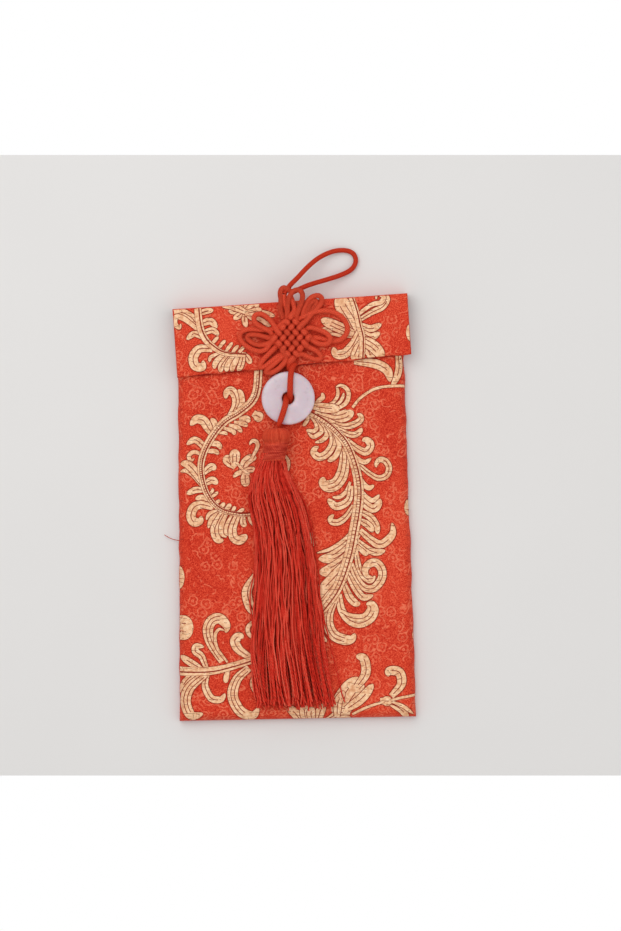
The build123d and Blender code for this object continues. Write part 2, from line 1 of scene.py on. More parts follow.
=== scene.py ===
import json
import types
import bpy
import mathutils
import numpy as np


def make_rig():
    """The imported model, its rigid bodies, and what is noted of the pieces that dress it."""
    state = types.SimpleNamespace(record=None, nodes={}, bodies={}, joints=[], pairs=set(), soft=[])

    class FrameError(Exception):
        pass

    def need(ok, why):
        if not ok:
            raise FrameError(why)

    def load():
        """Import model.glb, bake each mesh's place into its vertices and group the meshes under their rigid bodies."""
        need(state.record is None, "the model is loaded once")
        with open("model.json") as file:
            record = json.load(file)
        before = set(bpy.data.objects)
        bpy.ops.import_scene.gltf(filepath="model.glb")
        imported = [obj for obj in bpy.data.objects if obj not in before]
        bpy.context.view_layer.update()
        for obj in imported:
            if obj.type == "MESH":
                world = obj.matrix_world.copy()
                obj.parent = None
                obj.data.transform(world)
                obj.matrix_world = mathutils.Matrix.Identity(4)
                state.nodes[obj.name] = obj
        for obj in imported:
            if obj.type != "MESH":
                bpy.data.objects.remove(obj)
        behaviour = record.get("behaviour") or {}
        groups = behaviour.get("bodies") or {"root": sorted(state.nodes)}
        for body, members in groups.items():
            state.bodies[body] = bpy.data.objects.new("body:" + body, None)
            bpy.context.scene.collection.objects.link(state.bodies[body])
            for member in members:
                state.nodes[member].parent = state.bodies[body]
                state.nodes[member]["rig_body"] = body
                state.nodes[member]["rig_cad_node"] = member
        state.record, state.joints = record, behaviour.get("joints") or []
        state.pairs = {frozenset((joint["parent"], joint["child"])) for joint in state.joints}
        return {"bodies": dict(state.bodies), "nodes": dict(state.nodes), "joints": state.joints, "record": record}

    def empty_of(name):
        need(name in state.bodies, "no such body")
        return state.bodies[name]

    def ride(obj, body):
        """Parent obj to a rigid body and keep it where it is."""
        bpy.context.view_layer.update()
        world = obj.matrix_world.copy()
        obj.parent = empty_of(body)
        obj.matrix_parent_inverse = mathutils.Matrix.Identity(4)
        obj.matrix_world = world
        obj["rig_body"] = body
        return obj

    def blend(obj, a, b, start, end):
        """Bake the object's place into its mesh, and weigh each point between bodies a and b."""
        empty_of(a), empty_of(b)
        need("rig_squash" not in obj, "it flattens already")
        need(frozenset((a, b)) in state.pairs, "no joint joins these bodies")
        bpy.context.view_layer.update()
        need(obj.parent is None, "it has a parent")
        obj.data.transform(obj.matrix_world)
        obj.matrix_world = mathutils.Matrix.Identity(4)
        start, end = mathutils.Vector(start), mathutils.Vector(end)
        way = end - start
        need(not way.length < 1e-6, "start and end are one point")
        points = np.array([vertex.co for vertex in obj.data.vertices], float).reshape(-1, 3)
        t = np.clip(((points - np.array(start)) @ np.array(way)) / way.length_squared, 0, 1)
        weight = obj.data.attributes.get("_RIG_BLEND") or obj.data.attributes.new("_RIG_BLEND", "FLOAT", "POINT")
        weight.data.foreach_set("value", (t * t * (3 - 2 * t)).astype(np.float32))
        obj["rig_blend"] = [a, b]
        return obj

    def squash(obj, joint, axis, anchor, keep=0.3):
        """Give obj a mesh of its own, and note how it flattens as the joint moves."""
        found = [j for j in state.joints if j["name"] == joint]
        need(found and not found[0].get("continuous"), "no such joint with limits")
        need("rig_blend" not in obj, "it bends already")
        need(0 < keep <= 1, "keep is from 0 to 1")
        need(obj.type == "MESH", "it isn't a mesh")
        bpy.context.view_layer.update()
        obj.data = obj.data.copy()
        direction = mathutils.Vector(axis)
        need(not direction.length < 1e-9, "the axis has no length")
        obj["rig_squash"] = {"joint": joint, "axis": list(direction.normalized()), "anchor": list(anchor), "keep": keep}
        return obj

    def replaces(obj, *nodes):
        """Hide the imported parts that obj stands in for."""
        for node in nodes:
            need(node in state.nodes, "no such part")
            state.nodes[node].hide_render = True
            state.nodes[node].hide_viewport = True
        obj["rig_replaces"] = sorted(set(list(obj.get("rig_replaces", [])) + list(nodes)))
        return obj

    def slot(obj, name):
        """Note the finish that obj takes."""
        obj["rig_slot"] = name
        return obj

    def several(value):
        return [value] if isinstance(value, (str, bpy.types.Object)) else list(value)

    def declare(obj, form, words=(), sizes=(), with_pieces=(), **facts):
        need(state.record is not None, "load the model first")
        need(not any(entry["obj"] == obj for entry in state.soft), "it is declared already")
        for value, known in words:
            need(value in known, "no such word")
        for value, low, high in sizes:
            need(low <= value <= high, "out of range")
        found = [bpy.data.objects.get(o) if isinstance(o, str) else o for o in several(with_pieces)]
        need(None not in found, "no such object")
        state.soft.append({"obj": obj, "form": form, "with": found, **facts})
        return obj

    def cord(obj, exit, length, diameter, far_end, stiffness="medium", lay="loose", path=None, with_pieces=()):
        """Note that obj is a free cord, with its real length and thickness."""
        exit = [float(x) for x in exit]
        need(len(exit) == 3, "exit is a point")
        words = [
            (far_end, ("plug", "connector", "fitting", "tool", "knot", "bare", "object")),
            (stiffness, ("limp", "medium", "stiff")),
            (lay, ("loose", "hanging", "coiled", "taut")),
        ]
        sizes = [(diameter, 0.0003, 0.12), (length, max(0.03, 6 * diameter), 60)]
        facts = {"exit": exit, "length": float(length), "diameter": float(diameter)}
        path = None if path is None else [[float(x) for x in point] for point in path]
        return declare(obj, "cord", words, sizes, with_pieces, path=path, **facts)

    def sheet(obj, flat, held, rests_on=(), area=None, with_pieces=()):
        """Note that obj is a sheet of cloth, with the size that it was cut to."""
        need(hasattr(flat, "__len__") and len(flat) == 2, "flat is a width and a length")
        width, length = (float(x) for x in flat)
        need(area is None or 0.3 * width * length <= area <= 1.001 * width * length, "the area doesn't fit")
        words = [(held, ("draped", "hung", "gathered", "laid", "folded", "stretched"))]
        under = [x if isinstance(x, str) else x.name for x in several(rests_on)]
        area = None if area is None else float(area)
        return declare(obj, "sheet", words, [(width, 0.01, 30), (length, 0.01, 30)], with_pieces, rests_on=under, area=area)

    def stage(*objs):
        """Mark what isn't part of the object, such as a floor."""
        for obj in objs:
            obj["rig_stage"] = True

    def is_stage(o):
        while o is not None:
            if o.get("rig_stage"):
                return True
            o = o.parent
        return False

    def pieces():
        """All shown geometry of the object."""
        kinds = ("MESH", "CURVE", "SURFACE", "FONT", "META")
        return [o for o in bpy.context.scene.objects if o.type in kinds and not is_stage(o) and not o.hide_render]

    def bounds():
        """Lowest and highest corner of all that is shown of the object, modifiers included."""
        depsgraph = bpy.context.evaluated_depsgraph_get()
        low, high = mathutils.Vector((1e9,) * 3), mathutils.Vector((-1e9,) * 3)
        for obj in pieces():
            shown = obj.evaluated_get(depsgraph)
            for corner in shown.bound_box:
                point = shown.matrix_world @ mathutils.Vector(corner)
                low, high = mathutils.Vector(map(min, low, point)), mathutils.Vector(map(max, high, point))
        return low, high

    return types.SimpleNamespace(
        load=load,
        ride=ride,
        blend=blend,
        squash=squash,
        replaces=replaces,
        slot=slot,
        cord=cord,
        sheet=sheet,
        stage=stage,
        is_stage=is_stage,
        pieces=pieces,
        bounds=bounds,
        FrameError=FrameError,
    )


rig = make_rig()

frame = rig.load()
import json
from math import cos, pi, radians, sin, sqrt

import bmesh
import bpy
from mathutils import Matrix, Vector, noise

CAD_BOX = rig.bounds()

# The camera hangs over the table and looks straight down on the envelope, which lies on its
# back a little turned in the picture.
scene = bpy.context.scene
scene.view_settings.view_transform = "Standard"
PICTURE = (621, 931)
PIXEL = 0.0004237                  # a pixel of the picture on the envelope, in metres
TURN = 0.0192                      # turn of the envelope in the picture
MIDDLE = (294.0, 510.25)           # pixel over the middle of the pouch
CAMERA_HEIGHT = 1.6
SENSOR = 36.0


def under_pixel(column, row):
    """Place on the envelope that a pixel of the picture looks at."""
    across, down = column - MIDDLE[0], row - MIDDLE[1]
    return (across - down * TURN) * PIXEL, (-across * TURN - down) * PIXEL


camera = bpy.data.objects.new("camera", bpy.data.cameras.new("camera"))
scene.collection.objects.link(camera)
camera.data.sensor_width = SENSOR
camera.data.lens = CAMERA_HEIGHT * SENSOR / (PICTURE[1] * PIXEL)
camera.location = (*under_pixel(PICTURE[0] / 2, PICTURE[1] / 2), CAMERA_HEIGHT)
camera.rotation_euler = (0, 0, -TURN)
scene.camera = camera

# The knot: one soft braided satin cord, woven five runs by five into a pan chang knot with
# loops left standing at its sides, drawn tight and tacked to the flap.
MM = 0.001
CORD = 2.1 * MM
KNOT = Vector((0.4, 73.25, 11.25)) * MM
WEAVE = KNOT - Vector((0, 0.6, 0)) * MM  # middle of the weave
PITCH, SLOPE, RISE, LEVEL = 2.85 * MM, radians(51.5), 1.3 * MM, 0.22
REACH = 24 * MM
LINES = 5
WEAVE_EDGE = LINES - 0.4           # runs from the middle of the weave to its edge
TIGHT, LOOSE = 1.36, 1.06          # how much wider the cord is pressed in the weave and outside
MATT = 0.12                        # cloth and thread throw back little of the light unscattered
INNER_RIGHT = ((311.7, 341), (320, 345.5), (328.3, 344.8), (330.8, 339.2), (325.8, 333.4),
               (316.7, 330), (308.4, 328))
OUTER_RIGHT = ((302.6, 318), (313.4, 313), (326.7, 311), (339.9, 315.5), (347.4, 325.4),
               (347, 335.4), (338.3, 342.5), (327.5, 341.2), (316, 338))
LOW_RIGHT = ((308.4, 347.8), (316.7, 351.4), (321.7, 357), (318.4, 361), (310, 358.6),
             (301.8, 354.4))
LOW_LEFT = ((280.2, 355.3), (271, 362.7), (262.8, 369), (259.2, 366.4), (264, 359.7),
            (272.8, 351))
OUTER_LEFT = ((270.8, 343.6), (266, 351.4), (257, 352.4), (246.2, 347), (239.6, 339.5),
              (241.3, 332.2), (250.4, 329.6), (262.8, 331), (274.4, 330.4), (280.2, 327))
INNER_LEFT = ((274.4, 326.2), (268.6, 319.3), (261.2, 314.3), (254.2, 316.6), (254.5, 323.7),
              (262, 328.7), (269.5, 331.5), (272, 334.5))
TOP_LEFT, TOP_RIGHT = ((287, 311.3), (284, 301.4)), ((292.7, 302.2), (295.2, 311.3))
EARS = (((287.7, 319.6), (287.4, 309.7), (288.5, 299.7), (292.7, 292.7), (298.5, 290.6),
         (303, 294.7), (302.3, 302.2), (298.5, 310.5), (295.2, 319.6)),
        ((302.6, 320), (302.6, 314.6), (305, 305.5), (311.2, 298), (318.4, 296), (322.5, 299.7),
         (320.5, 306.3), (313.4, 313), (306.8, 321)),
        ((306, 320), (306.6, 313), (310, 304.7), (316, 301), (317, 304.7), (310.5, 313),
         (306, 322)),
        ((283.5, 319.6), (279.7, 311.3), (281.6, 301.4), (280, 295), (281.5, 289.8), (286, 288.4),
         (290.5, 292.5)),
        ((277, 341), (266, 346), (256, 346), (247.5, 340.4), (248, 335.6), (258, 335.4),
         (268, 338.7), (277, 340)),
        ((288.5, 358), (282, 367), (272.8, 373.5), (267, 374), (266.5, 371), (274.4, 365),
         (284, 356)))
EAR_LIFTS = (1.75, -0.9, -0.95, 0.4, -0.95, -0.3)
ROOT = KNOT + Vector((-0.067, 0.746, 0)) * REACH
TAIL_ROOT = KNOT + Vector((0, -0.479, 0)) * REACH
SPREAD, SHY = 2.3 * MM, 0.15 * MM
# Painted shade in the knot: its colour darkens from this height over the weave's middle down through this depth, where
# the runs shade one another.
PAINTED_SHADE_TOP, PAINTED_SHADE_DEEP = 2.45, 0.9  # millimetres over the weave's middle, and down from there
STRAND_SLANT = 3                   # strands of the braid round the cord


def dye(red, green, blue):
    """A colour seen on screen as the light that a shader works in, by the sRGB curve."""
    light = [(c / 255 + 0.055) ** 2.4 / 1.055 ** 2.4 if c > 10 else c / 3294.6
             for c in (red, green, blue)]
    return (*light, 1)


class Tone:
    """A socket among a finish's nodes: sums on it add Math nodes."""

    def __init__(self, tree, socket=None):
        self.tree, self.socket = tree, socket

    def node(self, kind, sockets, out=0, stops=(), **settings):
        """A new node with its settings and then its sockets, as the tone of one output."""
        made = self.tree.nodes.new(kind)
        for name, value in settings.items():
            setattr(made, name, value)
        for index, (place, colour) in enumerate(stops):
            ramp = made.color_ramp.elements
            stop = ramp[index] if index < 2 else ramp.new(place)
            stop.position, stop.color = place, colour
        for key, value in sockets.items():
            if isinstance(value, Tone):
                self.tree.links.new(value.socket, made.inputs[key])
            else:
                made.inputs[key].default_value = value
        return Tone(self.tree, made.outputs[out])

    def maths(self, operation, *others):
        return self.node("ShaderNodeMath", dict(enumerate((self, *others))), operation=operation)

    def vectors(self, operation, other):
        return self.node("ShaderNodeVectorMath", {0: self, 1: other}, operation=operation)

    def mix(self, first, second):
        """One colour going over to another as this tone rises from 0 to 1."""
        return self.node("ShaderNodeMix", {0: self, 6: first, 7: second}, out=2,
                         data_type="RGBA")

    def ramp(self, *stops):
        """Colours at places along this tone."""
        return self.node("ShaderNodeValToRGB", {0: self}, stops=stops)

    def part(self, axis):
        """X, Y or Z of a vector."""
        return self.node("ShaderNodeSeparateXYZ", {0: self}, out=axis)

    def __add__(self, other):
        return self.maths("ADD", other)

    def __sub__(self, other):
        return self.maths("SUBTRACT", other)

    def __rsub__(self, other):
        return self.node("ShaderNodeMath", {0: other, 1: self}, operation="SUBTRACT")

    def __mul__(self, other):
        return self.maths("MULTIPLY", other)

    def __truediv__(self, other):
        return self.maths("DIVIDE", other)

    def __lt__(self, other):
        return self.maths("LESS_THAN", other)

    def __gt__(self, other):
        return self.maths("GREATER_THAN", other)

    def __abs__(self):
        return self.maths("ABSOLUTE")

    __radd__, __rmul__ = __add__, __mul__


class Finish:
    """A material: its shader, its Object coordinates in millimetres and its UV map."""

    def __init__(self, name, **fixed):
        self.material = bpy.data.materials.new(name)
        self.material.use_nodes = True
        self.tree = self.material.node_tree
        self.shader = self.tree.nodes["Principled BSDF"]
        for socket, value in fixed.items():
            self.shader.inputs[socket.replace("_", " ").title().replace("Ior", "IOR")
                               ].default_value = value
        self.start = Tone(self.tree)
        where = self.start.node("ShaderNodeTexCoord", {}, out=3)
        self.spot = where.vectors("MULTIPLY", (1 / MM,) * 3)
        self.uv = Tone(self.tree, where.socket.node.outputs["UV"])

    def feed(self, socket, tone):
        self.tree.links.new(tone.socket, self.shader.inputs[socket])

    def grain(self, size, where=None, detail=2.0, rough=0.5):
        """Cloudy noise with blotches of a size in millimetres."""
        return self.start.node("ShaderNodeTexNoise", {"Vector": where or self.spot,
                               "Scale": 1 / size, "Detail": detail, "Roughness": rough})

    def bump(self, height, depth):
        """Relief of a depth in millimetres."""
        self.feed("Normal", self.start.node("ShaderNodeBump", {
            "Strength": 1.0, "Distance": depth * MM, "Height": height}))


def runs_out(x, y, unit=1):
    """How many runs of the weave a place lies away from its middle."""
    return abs(x) / (PITCH / unit * cos(SLOPE)) + abs(y) / (PITCH / unit * sin(SLOPE))


def weave_painted_shade(spot):
    """Painted shade between the runs of the weave, from 0 on top of them to 1 as a place lies lower among them."""
    away = spot.vectors("SUBTRACT", WEAVE / MM)
    painted_shade_depth = (PAINTED_SHADE_TOP - away.part(2)) / PAINTED_SHADE_DEEP
    inside = runs_out(away.part(0), away.part(1), MM) < WEAVE_EDGE
    return painted_shade_depth.maths("MAXIMUM", 0.0).maths("MINIMUM", 1.0) * inside


def cord_finish(name, main, shade, turns, painted_shade=None):
    """Braided satin cord: slanting strands both ways along it, and painted shade in the hollows of a weave where one is
    given.
    """
    finish = Finish(name, roughness=0.55, specular_ior_level=MATT)
    along, around = finish.uv.part(0) * turns, finish.uv.part(1) * STRAND_SLANT
    left, right = (abs((slant * (2 * pi)).maths("SINE"))
                   for slant in (along - around, along + around))
    strand = left.maths("MAXIMUM", right)
    fleck = finish.grain(0.7)
    tone = strand * 0.6 + fleck * 0.5 - 0.15
    if painted_shade:
        # painted shade: the cord's colour is darkened down in the weave's hollows
        tone = tone * (1 - painted_shade(finish.spot) * 0.9)
    finish.feed("Base Color", tone.mix(dye(*shade), dye(*main)))
    finish.feed("Roughness", 0.45 + fleck * 0.2)
    finish.bump(strand + fleck * 0.4, 0.12)
    return finish.material


def cord_tube(name, routes, radius, material, widths=None, sides=3, steps=6, order=3):
    """A mesh tube round smooth curves guided by the routes, and the curves' own points."""
    curve = bpy.data.curves.new(name, "CURVE")
    curve.dimensions, curve.resolution_u = "3D", steps
    curve.bevel_depth, curve.bevel_resolution, curve.use_fill_caps = radius, sides, True
    for index, route in enumerate(routes):
        spline = curve.splines.new("NURBS")
        spline.points.add(len(route) - 1)
        for number, (point, place) in enumerate(zip(spline.points, route)):
            point.co = (*place, 1)
            point.radius = widths[index][number] if widths else 1
        spline.order_u, spline.use_endpoint_u = order, True
    holder = bpy.data.objects.new(name, curve)
    scene.collection.objects.link(holder)

    def meshed():
        bpy.context.view_layer.update()
        return bpy.data.meshes.new_from_object(holder.evaluated_get(
            bpy.context.evaluated_depsgraph_get()))

    mesh = meshed()
    curve.bevel_depth = 0
    line = meshed()
    path = [v.co.copy() for v in line.vertices]
    bpy.data.objects.remove(holder)
    mesh.name = name
    tube = bpy.data.objects.new(name, mesh)
    scene.collection.objects.link(tube)
    mesh.materials.clear()
    mesh.materials.append(material)
    mesh.shade_smooth()
    return tube, path


def weave_place(i, j, height):
    """A place in the weave, counted in runs from its top corner."""
    return WEAVE + Vector(((i - j) * PITCH * cos(SLOPE),
                           (LINES - 1 - (i + j)) * PITCH * sin(SLOPE), height))


def woven_run(line, warp, forward):
    """Places of one run, over and under the runs that cross it."""
    places = []
    for step in range(LINES):
        over = (line + step) % 2 == 0
        for share in (-LEVEL, LEVEL):
            i, j = (line, step + share) if warp else (step + share, line)
            places.append(weave_place(i, j, RISE if over == warp else -RISE))
    return places if forward else places[::-1]


def standing_loop(pixels, lift=-1.0):
    """Places of a loop outside the weave, under pixels of the picture and laid on the flap."""
    last = len(pixels) - 1
    return [Vector((*under_pixel(x, y), KNOT.z + lift * MM * min(1, 2.5 * min(n, last - n) / last)))
            for n, (x, y) in enumerate(pixels)]


def strand_end(middle, side, short):
    """End of one of the two strands that leave the knot together."""
    return middle + Vector((side * SPREAD / 2, short, 0))


KNOT_HALVES = (
    [strand_end(TAIL_ROOT, -1, SHY)] + woven_run(4, True, False)
    + standing_loop(INNER_RIGHT, 1.1) + woven_run(3, True, True) + standing_loop(LOW_LEFT)
    + woven_run(1, True, False) + standing_loop(OUTER_RIGHT) + woven_run(0, False, False)
    + standing_loop(TOP_LEFT, 0) + [strand_end(ROOT, -1, -SHY)],
    [strand_end(ROOT, 1, -SHY)] + standing_loop(TOP_RIGHT, 0) + woven_run(0, True, True)
    + standing_loop(OUTER_LEFT) + woven_run(1, False, True) + standing_loop(LOW_RIGHT)
    + woven_run(3, False, False) + standing_loop(INNER_LEFT, 1.1) + woven_run(4, False, True)
    + [strand_end(TAIL_ROOT, 1, SHY)])


def pressed(place):
    """How much wider the cord is pressed at a place."""
    return TIGHT if runs_out(*(place - WEAVE).xy) < WEAVE_EDGE else LOOSE


# The knot's low colour is darker, to carry the painted shade in the weave's hollows.
knot_cord = cord_finish("knot_cord", (250, 92, 60), (132, 8, 0), 130, weave_painted_shade)
ears = [standing_loop(*ear) for ear in zip(EARS, EAR_LIFTS)]
ears[1] += woven_run(2, True, True) + ears.pop()
ears[4] += woven_run(2, False, True)
knot_routes = [*KNOT_HALVES, *ears]
knot, _ = cord_tube("woven_knot", knot_routes, CORD / 2, knot_cord,
                    [[pressed(p) for p in route] for route in knot_routes], steps=5)
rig.ride(knot, "flap")
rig.replaces(knot, "knot")
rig.slot(knot, "cord")

# The hanging loop: the same cord runs on out of the top of the knot in one loop, droops over
# the fold and lies on the table, and goes flat against the flap when that is opened out.
LOOP_REACH, LOOP_LOW, LOOP_LIFT = 31 * MM, 1.2 * MM, 10.05 * MM
LOOP_SHARES = ((0.03, 0.11, 0.92), (0.14, 0.21, 0.80), (0.30, 0.385, 0.50), (0.47, 0.52, 0.24),
               (0.69, 0.605, 0.05), (0.90, 0.585, 0.0), (0.965, 0.46, 0.0), (0.90, 0.33, 0.03),
               (0.74, 0.255, 0.12), (0.53, 0.19, 0.34), (0.33, 0.135, 0.58), (0.17, 0.07, 0.80))
LOOP_LENGTH = 0.078
loop_route = ([strand_end(ROOT, -1, 0)]
              + [Vector((ROOT.x + x * LOOP_REACH, ROOT.y + y * LOOP_REACH,
                         LOOP_LOW + z * LOOP_LIFT)) for x, y, z in LOOP_SHARES]
              + [strand_end(ROOT, 1, 0)])
loop_cord = cord_finish("loop_cord", (212, 60, 30), (150, 24, 8), 32)
hanging_loop, loop_path = cord_tube("loop_of_cord", [loop_route], CORD / 2, loop_cord, steps=12)
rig.ride(hanging_loop, "loop")
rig.replaces(hanging_loop, "hanging_loop")
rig.slot(hanging_loop, "cord")
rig.squash(hanging_loop, "flap_crease", axis=(0, 0, 1), anchor=ROOT, keep=0.04)
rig.cord(hanging_loop, exit=loop_path[0], length=LOOP_LENGTH, diameter=CORD, far_end="object",
        stiffness="medium", lay="loose", path=loop_path)

# The tails: the two ends of the knot's cord pass the jade disc on opposite sides, change
# places in its hole and run down to the tassel.
TAIL, TAIL_END = 2.5 * MM, 0.6     # thickness, and its share at the drawn-in end
FRONT_TAIL = [Vector(p) * MM for p in (
    (1.55, 61.75, 11.25), (0.4, 60.4, 12.4), (-0.35, 56.5, 12.9), (-0.7, 49.3, 12.8),
    (-0.6, 46.2, 7.7), (-2.6, 41.0, 7.5), (-4.8, 36.5, 7.6), (-5.9, 34.2, 9.6))]
BACK_TAIL = [Vector(p) * MM for p in (
    (-0.75, 61.75, 11.25), (-0.75, 60.0, 11.25), (-0.75, 59.3, 7.7), (-1.4, 54.0, 7.6),
    (-2.4, 48.6, 7.6), (-2.4, 45.4, 12.8), (-4.0, 40.4, 12.85), (-5.2, 37.2, 12.8),
    (-6.1, 35.65, 12.75))]
tail_cord = cord_finish("tail_cord", (216, 64, 34), (150, 24, 8), 14)
for node, route in (("front_tail", FRONT_TAIL), ("back_tail", BACK_TAIL)):
    tail, _ = cord_tube(node + "_cord", [route], TAIL / 2, tail_cord,
                        [[1] * (len(route) - 1) + [TAIL_END]], steps=10)
    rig.ride(tail, "tails")
    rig.replaces(tail, node)
    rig.slot(tail, "cord")

# The jade disc: a flat ring of milky white stone, turned and polished, its edges rounded
# over, with a small hole that the tails pass through.
DISC = Vector((-1.5, 47.352, 10.2)) * MM
DISC_RADIUS, DISC_HOLE, DISC_THICK = 11.2 * MM, 2.6 * MM, 3.0 * MM
RING_POINTS, RING_STEPS, RING_SQUARE = 36, 128, 0.55


def add_piece(name, bm, *materials):
    """A finished mesh as an object at the origin, with its materials."""
    mesh = bpy.data.meshes.new(name)
    bm.to_mesh(mesh)
    bm.free()
    for material in materials:
        mesh.materials.append(material)
    mesh.shade_smooth()
    piece = bpy.data.objects.new(name, mesh)
    scene.collection.objects.link(piece)
    return piece


def squared(value, power):
    """A cosine or sine drawn out towards a rounded square."""
    return abs(value) ** power * (1 if value > 0 else -1)


bm = bmesh.new()
middle = (DISC_RADIUS + DISC_HOLE) / 2
rim = [bm.verts.new(DISC + Vector((
    middle + (DISC_RADIUS - DISC_HOLE) / 2 * squared(cos(2 * pi * n / RING_POINTS), RING_SQUARE),
    0, DISC_THICK / 2 * squared(sin(2 * pi * n / RING_POINTS), RING_SQUARE))))
    for n in range(RING_POINTS)]
edges = [bm.edges.new((a, b)) for a, b in zip(rim, rim[1:] + rim[:1])]
bmesh.ops.spin(bm, geom=rim + edges, cent=DISC, axis=(0, 0, 1), angle=2 * pi,
               steps=RING_STEPS, use_merge=True, use_duplicate=False)
bmesh.ops.remove_doubles(bm, verts=bm.verts, dist=1e-7)
bmesh.ops.recalc_face_normals(bm, faces=bm.faces)
jade = Finish("jade", roughness=0.3, coat_weight=0.12, coat_roughness=0.05,
              subsurface_weight=0.35, subsurface_scale=0.002)
cloud = jade.grain(5.0, detail=4.0)
jade.feed("Base Color", cloud.ramp(
    (0.3, dye(204, 185, 193)), (0.55, dye(210, 192, 200)), (0.8, dye(220, 206, 214))))
jade.feed("Roughness", 0.22 + cloud * 0.15)
jade_disc = add_piece("jade_ring", bm, jade.material)
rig.ride(jade_disc, "disc")
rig.replaces(jade_disc, "jade_disc")
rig.slot(jade_disc, "jade")

# The tassel's head: silk threads laid close over a ball from its top, where the tails go in,
# and drawn down to a neck.
HEAD = Vector((-6.8, 28.952, 12.6)) * MM
HEAD_RADIUS, HEAD_THREAD, HEAD_THREADS = 5.5 * MM, 0.42 * MM, 46
LEAN = 0.2                         # the tassel hangs over to the left
SCATTER_STEP, SCATTER_SIZE = 12.9898, 43758.5453  # so odd that the shades form no pattern
# Painted shade: the threads of the skirt's lower layers are coloured darker, as if in the shade of those over them.
LAYER_PAINTED_SHADE = 0.8                  # how much darker the lowest threads are
HEAD_PROFILE = ((0.05, 1.0), (0.5, 1.0), (0.88, 0.88), (1.02, 0.55), (1.0, 0.25), (0.9, 0.08),
                (0.84, -0.1), (0.8, -1.4))


def leaned(along):
    """How far the tassel has moved over at a height above the head's middle."""
    return Vector((LEAN * min(0.0, along), 0, 0))


def thread_finish(name, low, middle, high, twists):
    """Twisted silky thread, each of its own tone, with the painted shade that its piece carries on lower layers."""
    finish = Finish(name, roughness=0.5, specular_ior_level=MATT)
    # the thread's own tone, with painted shade on lower layers where its piece has layers
    own = finish.start.node("ShaderNodeAttribute", {}, out=2, attribute_name="shade")
    ply = abs(((finish.uv.part(0) * twists + finish.uv.part(1)) * (2 * pi)).maths("SINE"))
    tone = own * 0.65 + ply * 0.3 + finish.grain(1.4) * 0.3 - 0.14
    finish.feed("Base Color", tone.ramp(
        (0.08, dye(*low)), (0.45, dye(*middle)), (0.95, dye(*high))))
    finish.feed("Roughness", 0.38 + ply * 0.25)
    finish.bump(ply, 0.1)
    return finish.material


def own_tones_and_painted_shade(piece, count, low, high, layers=1):
    """Gives each of a piece's threads a random tone of its own, and paints shade on the threads of the lower layers."""
    mesh = piece.data
    each = len(mesh.vertices) // count
    shade = mesh.attributes.new("shade", "FLOAT", "POINT")
    for index, value in enumerate(shade.data):
        thread = index // each
        own = sin(thread * SCATTER_STEP) * SCATTER_SIZE % 1
        # painted shade, stronger the lower a thread's layer lies
        painted_shade_depth = 1 - (thread % layers + 1) / layers
        value.value = low + (high - low) * (own - LAYER_PAINTED_SHADE * painted_shade_depth)


head_thread = thread_finish("head_thread", (150, 20, 8), (208, 62, 36), (238, 96, 64), 14)
routes = []
for number in range(HEAD_THREADS):
    turn = 2 * pi * number / HEAD_THREADS
    routes.append([HEAD + (Vector((r * cos(turn), along, r * sin(turn))) + leaned(along))
                   * HEAD_RADIUS for r, along in HEAD_PROFILE])
tassel_head, _ = cord_tube("head_threads", routes, HEAD_THREAD, head_thread, sides=1, steps=4)
own_tones_and_painted_shade(tassel_head, HEAD_THREADS, 0.3, 0.8)
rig.ride(tassel_head, "tassel")
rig.replaces(tassel_head, "tassel_head")
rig.slot(tassel_head, "tassel_thread")

# The binding: fine silk thread wound tight round the neck, turn beside turn, to hold the
# threads of the head and the skirt together.
BIND_TURNS, BIND_THREAD, BIND_RADIUS = 18, 0.27 * MM, 4.95 * MM
BIND_TOP, BIND_HEIGHT, BIND_POINTS = 0.5 * MM, 7.9 * MM, 16
BIND_SHADES = 9                    # changes of shade in one turn
route = []
for step in range(BIND_TURNS * BIND_POINTS + 1):
    turn = 2 * pi * step / BIND_POINTS
    uneven = noise.noise((step * 0.37, 1.0, 0.0))
    out = BIND_RADIUS * (1 + 0.05 * uneven)
    along = BIND_TOP + 0.12 * MM * uneven - BIND_HEIGHT * step / (BIND_TURNS * BIND_POINTS)
    route.append(HEAD + Vector((out * cos(turn), along, out * sin(turn))) + leaned(along))
binding_thread = thread_finish("binding_thread", (84, 2, 0), (178, 40, 26), (244, 106, 78), 290)
binding, _ = cord_tube("wound_binding", [route], BIND_THREAD, binding_thread, sides=1, steps=2)
own_tones_and_painted_shade(binding, BIND_TURNS * BIND_SHADES, 0.35, 0.75)
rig.ride(binding, "tassel")
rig.replaces(binding, "tassel_binding")
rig.slot(binding, "binding_thread")

# The skirt: hundreds of twisted silk threads that leave the binding, lie over the front of
# the pouch and fan out to an even hem, with a few strays at the sides.
FRONT_TOP = 6.5 * MM
LEFT_SIDE = ((261, 459), (252, 478), (249, 499), (253, 520), (256, 545), (256.5, 578),
             (254.5, 618), (253, 657), (257, 703))
RIGHT_SIDE = ((284, 459), (290, 476), (299, 495), (306, 517), (311, 543), (315, 572),
              (319, 606), (324, 645), (335, 702))
SKIRT_THICK, HEM_THICK, SKIRT_LOW = 8.0 * MM, 4.2 * MM, 1.2 * MM
NECK_DOWN, NECK_RADIUS, NECK_IN = 7.2 * MM, 4.6 * MM, 2.6 * MM
NECK = HEAD + Vector((0, -NECK_DOWN, 0)) + leaned(-NECK_DOWN)
SKIRT_COLUMNS, SKIRT_LAYERS, SKIRT_ROWS, SKIRT_THREAD = 50, 5, 38, 0.3 * MM
STRAYS = (-0.03, 1.02, 1.04, 1.07)
DRIFT, STRAY_DRIFT = 0.11, 0.04    # shares of the skirt's width
CRIMP, RUFFLE, HEM_UNEVEN = 0.8, 0.5, 4.5 * MM  # CRIMP and RUFFLE in millimetres
